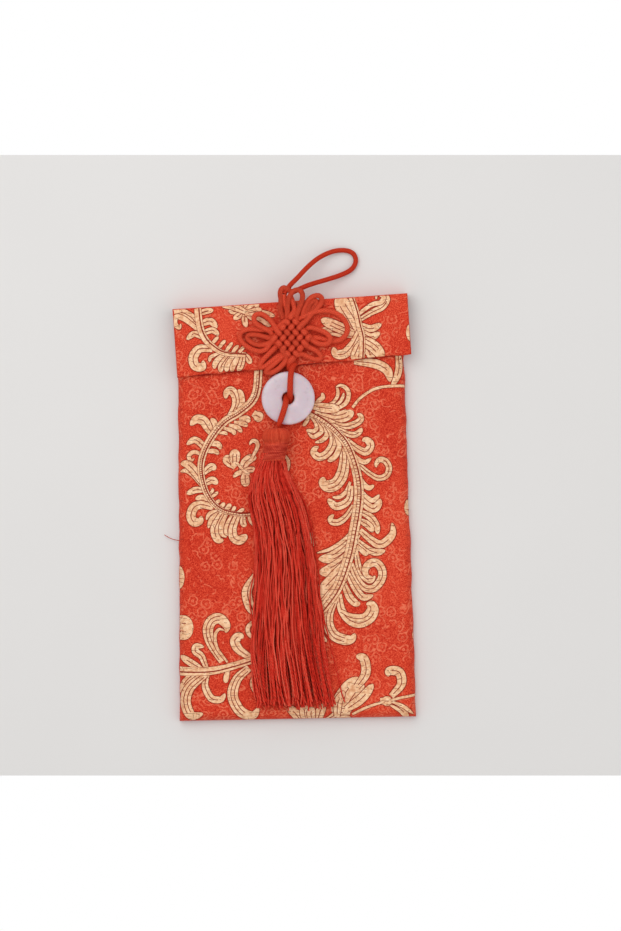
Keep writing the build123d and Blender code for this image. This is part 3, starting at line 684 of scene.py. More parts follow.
LINE_POINTS = 7                    # points of a flowing line between two that are given


def smooth_line(points):
    """A flowing line through a few points."""
    ends = [points[0], *points, points[-1]]
    line = []
    for a, b, c, d in zip(ends, ends[1:], ends[2:], ends[3:]):
        a, b, c, d = (Vector(p) for p in (a, b, c, d))
        for n in range(LINE_POINTS):
            t = n / LINE_POINTS
            line.append(((2 * b) + (c - a) * t + (2 * a - 5 * b + 4 * c - d) * t ** 2
                         + (3 * b - a - 3 * c + d) * t ** 3) / 2)
    return line + [Vector(points[-1])]


left_side, right_side = smooth_line(LEFT_SIDE), smooth_line(RIGHT_SIDE)


def skirt_place(share, across, depth):
    """A place in the skirt by shares of its length, width and thickness."""
    row = round(share * (len(left_side) - 1))
    spot = left_side[row].lerp(right_side[row], across)
    round_off = sqrt(max(0.0, 1 - min(1, abs(2 * across - 1)) ** 3))
    thick = (SKIRT_THICK + (HEM_THICK - SKIRT_THICK) * share ** 0.6) * (0.4 + 0.6 * round_off)
    return Vector((*under_pixel(*spot), FRONT_TOP + SKIRT_LOW + depth * thick))


def wander(seed, step):
    """A thread's own drift from side to side."""
    return noise.noise((seed * 3.71, step, 4.2))


tassel_thread = thread_finish("tassel_thread", (112, 0, 0), (224, 48, 30), (255, 122, 96), 60)
routes = []
threads = [((column + 0.5) / SKIRT_COLUMNS, layer / (SKIRT_LAYERS - 1))
           for column in range(SKIRT_COLUMNS) for layer in range(SKIRT_LAYERS)]
threads += [(stray, 0.2) for stray in STRAYS]
for seed, (across, depth) in enumerate(threads):
    stray = 0 if 0 < across < 1 else STRAY_DRIFT
    inside = min(0.98, max(0.02, across + 0.02 * wander(seed, 9.3)))
    depth = min(1.0, max(0.0, depth + 0.2 * wander(seed, 17.4)))
    side = 2 * inside - 1
    start = NECK + Vector((NECK_RADIUS * side, NECK_IN,
                           NECK_RADIUS * sqrt(1 - side * side) * (2 * depth - 1)))
    route = [start, start + Vector((-LEAN * 1.6 * MM, -1.6 * MM, 0))]
    for row in range(1, SKIRT_ROWS + 1):
        share = row / SKIRT_ROWS
        drift = inside + (across - inside) * share ** 0.7 + wander(seed, share * 4.3) * (
            stray + DRIFT * min(1, 0.15 + share * 1.5))
        if not stray:
            drift = min(1.01, max(-0.01, drift))
        place = skirt_place(share, drift, depth)
        place += Vector((CRIMP * wander(seed + 77, row * 0.83), 0,
                         RUFFLE * wander(seed + 500, row * 0.71))) * MM
        route.append(place)
    route[-1].y += HEM_UNEVEN * wander(seed, 31.7)
    routes.append(route)
tassel_skirt, _ = cord_tube("skirt_threads", routes, SKIRT_THREAD, tassel_thread, sides=0,
                            steps=2, order=4)
# the skirt's lower layers get painted shade
own_tones_and_painted_shade(tassel_skirt, len(routes), 0.36, 0.86, SKIRT_LAYERS)
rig.ride(tassel_skirt, "tassel")
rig.replaces(tassel_skirt, "tassel_skirt")
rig.slot(tassel_skirt, "tassel_thread")

# The front of the pouch: brocade stretched over a board, its sides and bottom rounded down
# to the seam with the back; red satin ground with a self-coloured flower damask.
BASE_Y, FOLD_Y, MOUTH_Y = -88.25 * MM, 88.25 * MM, 81.25 * MM
BASE_HALF, HEAD_HALF = 50 * MM, 47.5 * MM
SEAM_LEVEL, ROUND = 1.0 * MM, 5.0 * MM
CLOTH = 0.35 * MM
SWELLS = ((0.14 * MM, 16), (0.05 * MM, 5))  # heights of the waves, and their sizes
SEAM_WAVE, SEAM_STEP = 0.5 * MM, 7
CROWDED = 0.75                     # how far grid lines are drawn towards the edges
FLOWER_STEP, FLOWER_LOOSE = 5.2, 0.7  # millimetres, and how far the flowers stray
HEART, PETAL_IN, PETAL_OUT = 0.4, 1.5, 0.6


def half_width(y):
    """Half the width of the pouch at a height."""
    return BASE_HALF + (HEAD_HALF - BASE_HALF) * (y - BASE_Y) / (FOLD_Y - BASE_Y)


def ripple(x, y, size):
    """Soft unevenness of stretched cloth, from -1 to 1, with waves of a size in millimetres."""
    return noise.noise((x / MM / size, y / MM / size, 3.3))


def seam_wave(x, y):
    """How far the stitches draw the side seams in and out."""
    near = min(1.0, abs(x) / half_width(y)) ** 6
    return SEAM_WAVE * ripple(0.3 if x < 0 else 0.9, y, SEAM_STEP) * near


def wall_level(x, y):
    """Height of the front's face: flat on the board, rounded down to the seam."""
    side = half_width(y) - abs(x)
    foot = y - BASE_Y
    near = max(0.0, min(side, foot, (side + foot) * 0.62))
    share = min(1.0, near / ROUND)
    rise = sqrt(1 - (1 - share) ** 2.4)
    swell = sum(height * ripple(x, y, size) for height, size in SWELLS)
    return SEAM_LEVEL + (FRONT_TOP - SEAM_LEVEL) * rise + swell * share


def front_level(x, y):
    """Height of the front's face at a place, once the seams have drawn it."""
    return wall_level(x - seam_wave(x - seam_wave(x, y), y), y)


def spaced(share):
    """Grid lines drawn closer together near both edges."""
    return share + (0.5 - 0.5 * cos(pi * share) - share) * CROWDED


def cloth_sheet(name, columns, rows, place, *materials, thickness=CLOTH, under=True):
    """A sheet of cloth: a grid put in place by a function of its two shares."""
    bm = bmesh.new()
    bmesh.ops.create_grid(bm, x_segments=columns, y_segments=rows, size=0.5)
    for vert in bm.verts:
        vert.co = place(vert.co.x + 0.5, vert.co.y + 0.5)
    bmesh.ops.recalc_face_normals(bm, faces=bm.faces)
    if (sum((f.normal.z * f.calc_area() for f in bm.faces), 0.0) < 0) == under:
        bmesh.ops.reverse_faces(bm, faces=bm.faces)
    sheet = add_piece(name, bm, *materials)
    wall = sheet.modifiers.new("thickness", "SOLIDIFY")
    wall.thickness, wall.offset = thickness, -1
    return sheet


def brocade_finish(name, shift):
    """Red satin with lighter self-coloured flowers, stems and a fine speckle of threads."""
    finish = Finish(name, roughness=0.6, specular_ior_level=MATT)
    spot = finish.spot.vectors("ADD", (shift, shift * 0.7, 0))
    flat = finish.start.node("ShaderNodeCombineXYZ", {0: spot.part(0),
                                                      1: spot.part(1) + spot.part(2)})
    warp = finish.grain(5.0, flat, 1.0)
    cells = finish.start.node("ShaderNodeTexVoronoi", {
        "Vector": flat, "Scale": 1 / FLOWER_STEP, "Randomness": FLOWER_LOOSE},
        out=2, voronoi_dimensions="2D")
    off = flat.vectors("SUBTRACT", cells.vectors("MULTIPLY", (1, 1, 0)))
    x, y = off.part(0), off.part(1)
    reach, angle = (x * x + y * y).maths("SQRT"), y.maths("ARCTAN2", x)
    petal = PETAL_IN + PETAL_OUT * abs((angle * 1.5 + warp * 9).maths("COSINE"))
    line = (1 - abs(reach - petal) * 2.3).maths("MAXIMUM", 1 - abs(reach - HEART) * 3.0)
    stem = 1 - abs(warp - 0.5) * 34
    patch = finish.grain(13.0, flat, 0.0) > 0.5
    worn = finish.grain(1.4, finish.spot, 1.0)
    leafy = (line * patch).maths("MAXIMUM", stem * (finish.grain(4.0, flat, 1.0) > 0.54))
    figure = leafy.maths("MAXIMUM", 0.0) * (worn * 2.2 - 0.25)
    fleck = finish.grain(0.42, finish.spot, 1.0)
    ground = (fleck * 0.8 + finish.grain(30.0) * 0.2).ramp(
        (0.32, dye(178, 26, 8)), (0.5, dye(213, 60, 35)), (0.68, dye(238, 94, 62)))
    finish.feed("Base Color", (figure.maths("MINIMUM", 1.0) * 0.9).mix(ground,
                                                                       dye(242, 122, 88)))
    finish.feed("Roughness", 0.64 - figure * 0.12)
    finish.bump(fleck + figure * 0.6, 0.03)
    return finish.material


front_brocade = brocade_finish("front_brocade", 40.0)


def front_place(across, up):
    """Where a point of the front's cloth lies."""
    y = BASE_Y + (MOUTH_Y - BASE_Y) * spaced(up)
    x = half_width(y) * (2 * spaced(across) - 1)
    return Vector((x + seam_wave(x, y), y, wall_level(x, y)))


front_cloth = cloth_sheet("front_cloth", 90, 150, front_place, front_brocade)
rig.ride(front_cloth, "pouch")
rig.replaces(front_cloth, "front_brocade", "left_seam", "right_seam", "bottom_seam")
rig.slot(front_cloth, "brocade")
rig.sheet(front_cloth, flat=(0.108, 0.176), held="stretched", rests_on=["front_board"])

# The back of the pouch: brocade over a board, flat on the table, its edges turned up to meet
# the front and its upper edge running on round the fold.
TILT = radians(2.8)
CREASE = Vector((cos(TILT), sin(TILT), 0))
OVER = Vector((-sin(TILT), cos(TILT), 0))
CREASE_MID = Vector((0, FOLD_Y, 0))
FLAP_HALF = 49.6 * MM
SPINE_TURN = 3.0 * MM
BACK_FACE, BACK_ROUND = 0.12 * MM, 1.6 * MM


def by_crease(along, over, level):
    """A place counted along the crease and out over it."""
    return CREASE_MID + CREASE * along + OVER * over + Vector((0, 0, level))


back_brocade = brocade_finish("back_brocade", 310.0)


def back_place(across, up):
    """Where a point of the back's cloth lies, outer face down."""
    row = spaced(up) if up < 0.5 else up + (spaced(up) - up) * 0.2
    x = half_width(BASE_Y + (FOLD_Y - BASE_Y) * row) * (2 * spaced(across) - 1)
    y = BASE_Y + (by_crease(x / cos(TILT), -SPINE_TURN, 0).y - BASE_Y) * row
    side, foot = half_width(y) - abs(x), y - BASE_Y
    share = min(1.0, max(0.0, min(side, foot)) / BACK_ROUND)
    return Vector((x + seam_wave(x, y), y,
                   BACK_FACE + (SEAM_LEVEL - BACK_FACE) * (1 - sqrt(1 - (1 - share) ** 2))))


back_cloth = cloth_sheet("back_cloth", 60, 100, back_place, back_brocade, under=False)
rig.ride(back_cloth, "pouch")
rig.replaces(back_cloth, "back_brocade")
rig.slot(back_cloth, "brocade")
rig.sheet(back_cloth, flat=(0.1, 0.176), held="stretched", rests_on=["back_board"])

# The side stitches: the front and the back are whipped together down both sides with red
# sewing thread, one short slanting stitch after another, and one loose end is left standing.
STITCHES, STITCH_THREAD = 30, 0.14 * MM
STITCH_LINE = ((0.15, -0.1), (0.5, 0.08), (1.2, 0.1), (1.8, 0.06), (2.1, -0.12))
LOOSE_END = ((181, 541), (176, 539.8), (170, 538.5), (164.5, 534.7))
sewing_thread = cord_finish("sewing_thread", (222, 72, 46), (190, 46, 26), 8)
for name, side in (("left", -1), ("right", 1)):
    routes = []
    for number in range(STITCHES):
        y = BASE_Y + (MOUTH_Y - BASE_Y) * (number + 1) / (STITCHES + 1)
        route = []
        for away, off in STITCH_LINE:
            x = side * (half_width(y) - away * MM)
            route.append(Vector((x, y + away * 0.25 * MM, front_level(x, y) + off * MM)))
        routes.append(route)
    if side < 0:
        routes.append([Vector((*under_pixel(*p), 1.3 * MM)) for p in LOOSE_END])
    stitches, _ = cord_tube(name + "_side_stitches", routes, STITCH_THREAD, sewing_thread,
                            sides=1, steps=3)
    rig.ride(stitches, "pouch")
    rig.replaces(stitches, name + "_stitches")
    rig.slot(stitches, "sewing_thread")

# The linings: thin red cloth in plain weave, glued to the inner faces of the pouch and seen
# only when the flap is open.
LINING = 0.15 * MM
PLAIN_STEP = 0.5                   # millimetres between the lining's threads
lining = Finish("lining", roughness=0.8, specular_ior_level=MATT)
weft, warp = ((lining.spot.part(axis) * (2 * pi / PLAIN_STEP)).maths("SINE") for axis in (0, 1))
plain = weft * warp
fade = lining.grain(9.0)
lining.feed("Base Color", (plain * 0.3 + fade * 0.7).mix(dye(150, 24, 20), dye(186, 48, 38)))
lining.feed("Roughness", 0.7 + fade * 0.2)
lining.bump(plain, 0.06)
INNER_DROP, INNER_IN, INNER_BACK = 1.0 * MM, 0.9 * MM, 1.12 * MM


def front_lining_place(across, up):
    """Inside of the front: its face drawn in and down by the board and the cloth."""
    spot = front_place(across, up)
    inward = 1 - INNER_IN / BASE_HALF
    return Vector((spot.x * inward, spot.y + INNER_IN * (1 - up) - 0.5 * MM * up,
                   max(1.15 * MM, spot.z - INNER_DROP)))


front_lining = cloth_sheet("front_lining_cloth", 60, 100, front_lining_place, lining.material,
                           thickness=LINING, under=False)
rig.replaces(front_lining, "front_lining")


def back_lining_place(across, up):
    """Inside of the back, from the bottom seam up to the fold."""
    x = (half_width(BASE_Y + (FOLD_Y - BASE_Y) * up) - INNER_IN) * (2 * across - 1)
    low, high = BASE_Y + INNER_IN, by_crease(x / cos(TILT), -0.7 * MM, 0).y
    return Vector((x, low + (high - low) * up, INNER_BACK))


back_lining = cloth_sheet("back_lining_cloth", 30, 60, back_lining_place, lining.material,
                          thickness=LINING)
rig.replaces(back_lining, "back_lining")
for sheet, size in ((front_lining, (0.106, 0.174)), (back_lining, (0.098, 0.172))):
    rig.ride(sheet, "pouch")
    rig.slot(sheet, "lining")
    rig.sheet(sheet, flat=size, held="stretched", rests_on=["back_board"])

# The boards: stiff pale card, cut a little smaller than the cloth, that keeps the back, the
# front and the flap flat.
card = Finish("card", roughness=0.9)
fibre = card.grain(1.4, card.spot.vectors("MULTIPLY", (1, 0.3, 1)), 4.0)
card.feed("Base Color", fibre.mix(dye(196, 178, 146), dye(226, 214, 190)))
card.bump(fibre, 0.05)
for node in ("back_board", "front_board", "flap_board"):
    for place in frame["nodes"][node].material_slots:
        place.material = card.material

# The fold: the back's cloth runs up round two creases with a narrow spine between them, so
# that the flap can lie over the thick pocket and open out flat.
FLAP_TOP, CREASE_BEND = 8.9 * MM, 1.2 * MM
SPINE_LOWER = ((-3.0, 0.0), (-2.0, 0.0), (-1.0, 0.02), (-0.45, 0.12), (-0.12, 0.45), (0.0, 1.0),
               (0.02, 1.8), (0.05, 3.0), (0.06, 4.45))
SPINE_UPPER = ((0.06, 4.45), (0.05, 6.0), (0.03, 7.0), (0.0, 7.9), (-0.12, 8.45), (-0.45, 8.78),
               (-1.0, 8.88), (-2.0, 8.9), (-3.0, 8.9))


def spine_place(profile):
    """A strip of cloth with one profile all along the crease."""
    def place(across, up):
        row = min(len(profile) - 2, int(up * (len(profile) - 1)))
        share = up * (len(profile) - 1) - row
        over, level = (a + (b - a) * share for a, b in zip(profile[row], profile[row + 1]))
        near = 0.5 - abs(across - 0.5)
        along = FLAP_HALF * (2 * across - 1)
        return by_crease(along, over * MM + 0.12 * MM * ripple(along, 0, 12) * min(1, near * 20),
                         level * MM)
    return place


fold_brocade = brocade_finish("fold_brocade", 125.0)
lower_spine = cloth_sheet("lower_spine", 80, 24, spine_place(SPINE_LOWER), fold_brocade,
                          under=False)
upper_spine = cloth_sheet("upper_spine", 80, 24, spine_place(SPINE_UPPER), fold_brocade)
for spine in (lower_spine, upper_spine):
    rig.slot(spine, "brocade")
    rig.sheet(spine, flat=(0.0992, 0.0105), held="folded", rests_on=["fold_lining_cloth"],
             area=0.00072)
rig.replaces(lower_spine, "fold_brocade")
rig.blend(lower_spine, "pouch", "fold", start=by_crease(0, -CREASE_BEND, 0),
         end=by_crease(0, 0, CREASE_BEND))
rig.blend(upper_spine, "fold", "flap", start=by_crease(0, 0, FLAP_TOP - CREASE_BEND),
         end=by_crease(0, -CREASE_BEND, FLAP_TOP))
fold_lining = cloth_sheet("fold_lining_cloth", 60, 8, lambda across, up: by_crease(
    (FLAP_HALF - 0.7 * MM) * (2 * across - 1), -0.55 * MM, (1.2 + 6.2 * up) * MM),
    lining.material, thickness=LINING)
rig.ride(fold_lining, "fold")
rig.replaces(fold_lining, "fold_lining")
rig.slot(fold_lining, "lining")
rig.sheet(fold_lining, flat=(0.098, 0.0105), held="stretched", rests_on=["lower_spine"],
         area=0.00062)

# The flap: brocade over a board, folded over the pocket's mouth, its three free edges turned
# under and its inner face lined.
FLAP_LEFT, FLAP_RIGHT, FLAP_UNDER = 28.9 * MM, 25.7 * MM, 7.8 * MM
FLAP_ROUND = 1.1 * MM
flap_brocade = brocade_finish("flap_brocade", 205.0)


def flap_depth(along):
    """Depth of the flap at a place along the crease."""
    return FLAP_LEFT + (FLAP_RIGHT - FLAP_LEFT) * (along / FLAP_HALF + 1) / 2


def flap_level(along, over):
    """Height of the flap's face, rounded under at its free edges."""
    near = max(0.0, min(FLAP_HALF - abs(along), flap_depth(along) + over))
    share = min(1.0, near / FLAP_ROUND)
    swell = 0.12 * MM * ripple(along, over, 13) * min(1, -over / (6 * MM))
    return FLAP_TOP - (FLAP_TOP - FLAP_UNDER) * (1 - sqrt(1 - (1 - share) ** 2)) + swell * share


def flap_place(across, up):
    """Where a point of the flap's cloth lies, from its lower edge up to the spine."""
    along = FLAP_HALF * (2 * spaced(across) - 1)
    over = -flap_depth(along) + (flap_depth(along) - SPINE_TURN) * spaced(up)
    level = flap_level(along, over)
    lower = 0.6 * MM * ripple(along, 7 * MM, 7) * (1 - up) ** 6
    return by_crease(along, over + lower, level)


flap_cloth = cloth_sheet("flap_cloth", 110, 44, flap_place, flap_brocade)
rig.ride(flap_cloth, "flap")
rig.replaces(flap_cloth, "flap_brocade")
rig.slot(flap_cloth, "brocade")
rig.sheet(flap_cloth, flat=(0.102, 0.0275), held="stretched", rests_on=["flap_board"])
flap_lining = cloth_sheet("flap_lining_cloth", 50, 16, lambda across, up: by_crease(
    (FLAP_HALF - 0.6 * MM) * (2 * across - 1),
    -(flap_depth(FLAP_HALF * (2 * across - 1)) - 0.6 * MM) * (1 - up) - 0.7 * MM, FLAP_UNDER),
    lining.material, thickness=LINING, under=False)
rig.ride(flap_lining, "flap")
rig.replaces(flap_lining, "flap_lining")
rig.slot(flap_lining, "lining")
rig.sheet(flap_lining, flat=(0.098, 0.0265), held="stretched", rests_on=["flap_board"])

# The closure: a tape set with soft loops is glued to the front and one set with stiff hooks to
# the flap, and the two hold the flap down when they are pressed together.
TAPE_MID = by_crease(0, -21.3 * MM, 0)
TAPE_WIDE, TAPE_DEEP, TAPE_BASE, TAPE_CORNER = 24 * MM, 8 * MM, 0.2 * MM, 1.5 * MM
PILE_STEP, PILE_YARN = 0.72 * MM, 0.06 * MM
PILE_COLUMNS, PILE_ROWS = range(-15, 15), range(-4, 5)
LOOP_YARN = ((-0.15, 0.0, 0.08), (-0.2, 0.05, 0.42), (0.15, 0.1, 0.46), (0.2, 0.1, 0.08))
HOOK_YARN = ((0.0, 0.0, -0.08), (0.0, 0.0, -0.36), (0.16, 0.02, -0.44), (0.24, 0.03, -0.28))


def pile_finish(name, shade, main):
    """Yarn of a closure tape, a little uneven in colour."""
    finish = Finish(name, roughness=0.7, specular_ior_level=MATT)
    finish.feed("Base Color", finish.grain(1.0).mix(dye(*shade), dye(*main)))
    return finish.material


def closure_tape(name, material, level, yarn):
    """A woven tape with rounded corners, set all over with loops or hooks of yarn."""
    turned = Matrix.Translation(TAPE_MID + Vector((0, 0, level))) @ Matrix.Rotation(TILT, 4, "Z")
    routes = [[turned @ (Vector((column + 0.5 * (row % 2), row, 0)) * PILE_STEP + Vector(p) * MM)
               for p in yarn] for column in PILE_COLUMNS for row in PILE_ROWS]
    tape, _ = cord_tube(name, routes, PILE_YARN, material, sides=0, steps=3)
    bm = bmesh.new()
    bm.from_mesh(tape.data)
    base = bmesh.ops.create_cube(bm, size=1, matrix=turned @ Matrix.Diagonal(
        (TAPE_WIDE, TAPE_DEEP, TAPE_BASE, 1)))["verts"]
    corners = [e for e in bm.edges if e.verts[0] in base
               and abs(e.verts[0].co.z - e.verts[1].co.z) > TAPE_BASE / 2]
    bmesh.ops.bevel(bm, geom=corners, offset=TAPE_CORNER, offset_type="OFFSET", segments=6,
                    profile=0.5, affect="EDGES", material=-1)
    bm.to_mesh(tape.data)
    bm.free()
    return tape


loop_tape = closure_tape("tape_of_loops", pile_finish("loop_pile", (150, 24, 18), (190, 48, 36)),
                         FRONT_TOP + TAPE_BASE / 2, LOOP_YARN)
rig.ride(loop_tape, "pouch")
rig.replaces(loop_tape, "loop_tape")
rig.slot(loop_tape, "loop_pile")
hook_tape = closure_tape("tape_of_hooks", pile_finish("hook_pile", (136, 20, 16), (176, 40, 30)),
                         FLAP_UNDER - TAPE_BASE / 2, HOOK_YARN)
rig.ride(hook_tape, "flap")
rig.replaces(hook_tape, "hook_tape")
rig.slot(hook_tape, "hook_pile")

# The tacks: three corners of the knot are sewn through the flap, and the doubled thread shows
# on the lining as short bars.
TACK_LINE = ((-1.8, 0.15, 0.05), (-1.4, 0.15, -0.18), (1.4, -0.15, -0.18), (1.8, -0.15, 0.05))
routes = []
for corner in ((0, LINES - 1), (LINES - 1, 0), (0, 0)):
    spot = weave_place(*corner, 0)
    spot.z = FLAP_UNDER
    routes += [[spot + Vector((x, y * strand, z)) * MM for x, y, z in TACK_LINE]
               for strand in (-1, 1)]
tacks, _ = cord_tube("tack_bars", routes, STITCH_THREAD, sewing_thread, sides=1, steps=4)
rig.ride(tacks, "flap")
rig.replaces(tacks, "knot_tacks")
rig.slot(tacks, "sewing_thread")

# The gold figure: flat gilt weft floats over the red ground in scrolling plumes with curled
# leaves, each leaf edged and veined in the ground's own dark red thread.
FIGURE_GRID = 3.0 * MM             # the figure is cut this fine so that it lies on the cloth
EDGE_CUTS = (0.25, 0.6, 1.0, 1.6, 2.4, 3.4)
LIFT, LAYER = 0.12 * MM, 0.012 * MM  # of the weft over the cloth, and of one colour over another
LEAF_LAYERS, SPINE_LAYER = 5, 15
RIM, VEIN, ROOTED = 0.7, 0.8, 3.0    # pixels, like the widths in the tables below
TWO_VEINS, ONE_VEIN = 9, 5           # leaves at least this wide have veins
RIBBED, RAILED = 3.5, 7              # and spines wider than this a rib, and a rail beside it


def beside(line, aways):
    """A line beside another, at each point its own distance to the left of the way along it."""
    last = len(line) - 1
    ways = [line[min(n + 1, last)] - line[max(n - 1, 0)] for n in range(last + 1)]
    return [p + Vector((w.y, -w.x)).normalized() * away for p, w, away in zip(line, ways, aways)]


def leaf_widths(count, width):
    """Widths along a leaf: narrow at the base, then swelling, then round to the tip."""
    shares = [n / (count - 1) for n in range(count)]
    return [width * min(1, 0.65 + t) * max(0.01, 1 - max(0, (t - 0.6) / 0.4) ** 2) ** 0.72
            for t in shares]


def gold_figure(name, spines, leaves, level, edges, placed, face_up=True):
    """The gilt weft of one panel, cut at its edges and laid on its cloth."""
    bm = bmesh.new()

    def lay(line, widths, height, material):
        left, right = ([bm.verts.new((*placed(p.x, p.y), height))
                        for p in beside(line, [half * w for w in widths])] for half in (0.5, -0.5))
        for n in range(len(line) - 1):
            face = bm.faces.new((left[n], left[n + 1], right[n + 1], right[n]))
            face.material_index = material

    def cut(place, away, clear=False):
        bmesh.ops.bisect_plane(bm, geom=bm.verts[:] + bm.edges[:] + bm.faces[:], plane_co=place,
                               plane_no=away, clear_outer=clear)

    for number, (width, *leaf) in enumerate(leaves):
        line = smooth_line(list(zip(leaf[::2], leaf[1::2])))
        line.insert(0, line[0] + (line[0] - line[2]).normalized() * ROOTED)
        widths = leaf_widths(len(line), width * 1.15)
        height = LIFT + LAYER * 3 * (number % LEAF_LAYERS)
        lay(line, [w + 2 * RIM for w in widths], height, 1)
        lay(line, widths, height + LAYER, 0)
        for share in (-0.2, 0.2) if width >= TWO_VEINS else (0,) if width >= ONE_VEIN else ():
            under = line[1:int(len(line) * 0.7)]
            vein = beside(under, [share * width] * len(under))
            lay(vein, [VEIN] * len(vein), height + 2 * LAYER, 1)
    for points, first, mid, last in spines:
        line = smooth_line(points)
        shares = [n / (len(line) - 1) for n in range(len(line))]
        widths = [first * (1 - t) ** 2 + 2 * mid * t * (1 - t) + last * t * t for t in shares]
        band = beside(line, [-0.16 * mid] * len(line))
        height = LIFT + LAYER * SPINE_LAYER
        lay(band, [w + RIM for w in widths], height, 1)
        lay(band, widths, height + LAYER, 0)
        if mid > RIBBED:
            lay(line, [VEIN * 1.6] * len(line), height + 2 * LAYER, 1)
        if mid > RAILED:
            rail = beside(line, [-0.3 * mid] * len(line))[3:-3]
            for strand in (rail, *zip(line[3:-3], rail)):
                lay(strand, [VEIN * 0.7] * len(strand), height + 2 * LAYER, 1)
    bm.normal_update()
    bmesh.ops.triangulate(bm, faces=bm.faces)
    for place, away in edges:
        cut(place, away, True)
        for inset in EDGE_CUTS:
            cut(place - away.normalized() * inset * MM, away)
    for axis in (0, 1):
        spots = [v.co[axis] for v in bm.verts]
        plane = Vector((0, 0, 0))
        plane[axis] = 1
        for line in range(int(min(spots) / FIGURE_GRID), int(max(spots) / FIGURE_GRID) + 1):
            cut(plane * line * FIGURE_GRID, plane)
    bmesh.ops.triangulate(bm, faces=bm.faces)
    for vert in bm.verts:
        rest = level(vert.co.x, vert.co.y)
        vert.co.z = rest + vert.co.z if face_up else rest - vert.co.z / 3
    for face in bm.faces:
        face.normal_update()
        if (face.normal.z > 0) != face_up:
            face.normal_flip()
    return add_piece(name, bm, gilt.material, edging.material)


PICK_STEP, GAP_STEP = 1.9, 2.8     # millimetres between the dark hairs in the weft
gilt = Finish("gilt_weft", roughness=0.5, specular_ior_level=0.3)
shake = gilt.grain(7.0, detail=1.0) * 5.0
across, up = gilt.spot.part(0) + shake * 0.5, gilt.spot.part(1) + shake * 0.6
pick = abs((up * (pi / PICK_STEP)).maths("SINE"))
gap = abs((across * (pi / GAP_STEP) + up * 0.25).maths("SINE"))
hair = ((pick < 0.17) * (gilt.grain(2.2) > 0.5)).maths(
    "MAXIMUM", (gap < 0.1) * (gilt.grain(2.6) > 0.62))
gleam = gilt.grain(1.2)
gilded = (gleam * 0.8 + gilt.grain(9.0) * 0.2).ramp(
    (0.3, dye(216, 148, 102)), (0.5, dye(243, 190, 145)), (0.68, dye(255, 216, 174)))
gilt.feed("Base Color", (hair * 0.8).mix(gilded, dye(108, 44, 16)))
gilt.feed("Roughness", 0.4 + hair * 0.3 + gleam * 0.15)
gilt.bump(pick * 0.5 + gleam * 0.4, 0.06)
edging = Finish("edging_thread", roughness=0.7, specular_ior_level=MATT)
edging.feed("Base Color", edging.grain(0.8).mix(dye(120, 26, 12), dye(160, 38, 20)))

# Points of the spines and leaves in pixels: a spine's points and then its width at the start,
# in the middle and at the end; a leaf's width and then its points from base to tip.
FLAP_SPINES = (
    (((199, 304), (201.5, 326), (207, 339.5), (216, 348), (226, 353), (246, 355)), 7, 7, 3),
    (((350, 292), (356.5, 311), (360, 326), (363, 339.5), (362.3, 364)), 5, 7, 5))
FLAP_LEAVES = (
    (7, 198, 326, 191.5, 318, 181.5, 313, 172, 312.5),
    (4.4, 200, 332, 191.5, 324.6, 183, 318.8, 176.6, 318, 175.8, 324.6, 180, 328.5, 181.5, 324.6),
    (5, 202.3, 337.8, 194.8, 334.5, 187.4, 340.3),
    (8, 210, 349.5, 200, 349.5, 194, 357.7, 195.7, 366, 203, 367.7, 204, 361),
    (3, 218, 354.4, 211.4, 357.7, 210, 362.7), (4.5, 223, 356, 216.4, 362.7, 214.7, 369.4),
    (5, 229.7, 356, 222, 366, 221.4, 373), (4.5, 234.6, 356, 228, 366, 227, 372.5),
    (4.5, 239.6, 356, 233.8, 366, 232, 372.5), (5, 243.7, 356, 241.3, 366, 238, 371.5),
    (5, 246, 356, 249, 360, 251, 364.4), (6, 201.5, 325, 211, 322, 217.5, 329),
    (5, 204, 334, 213, 331, 219.5, 336), (3, 213, 344, 216, 340.5, 219, 337.5),
    (3, 220, 348, 223, 344, 226, 341), (3, 227, 351, 230, 347, 233, 343),
    (3, 233, 353, 236, 349, 239, 346), (3, 239, 354, 242, 350, 245, 347),
    (5, 200.5, 314, 207, 312, 214, 311),
    (6, 244, 312, 232, 307, 221, 306), (5, 243, 312, 236, 312.5, 229, 312),
    (6, 245, 312, 241, 308, 238, 303), (7, 246, 312, 248, 308, 250, 302),
    (7, 247, 312, 253, 308.5, 259, 304), (6, 248, 314, 255, 312.5, 262, 310),
    (5, 250, 315, 263, 314, 275, 317), (5, 243, 314, 238.5, 317, 234, 320),
    (5, 246, 315, 245, 321, 247, 328), (4, 247, 315, 251, 318, 254, 321),
    (8, 256, 316, 265, 320, 271, 327),
    (5, 359, 321, 372, 313, 382, 308, 387, 300, 384, 294.5),
    (4, 357, 316, 370.6, 306, 380.6, 303, 383, 297.5, 377, 294.7, 375.6, 300.5),
    (6, 360.7, 326, 370.6, 329.5, 381, 324.6), (6, 362, 333, 370.6, 337.8, 379.5, 333),
    (10, 363, 341, 374, 347.8, 383, 358.5), (7, 363, 345, 369, 353, 373, 361),
    (14, 360, 338, 350.7, 319.6, 342.4, 306, 339, 295),
    (8, 358.5, 334, 352.4, 346, 344, 354.4, 335.8, 354.4, 333.3, 347.8),
    (10, 361, 345, 357, 354.4, 353.5, 362), (9, 350, 333, 335, 326.5, 321, 320),
    (6, 350, 336, 336, 333.5, 322, 329), (15, 416, 333, 411, 333, 405.5, 333))
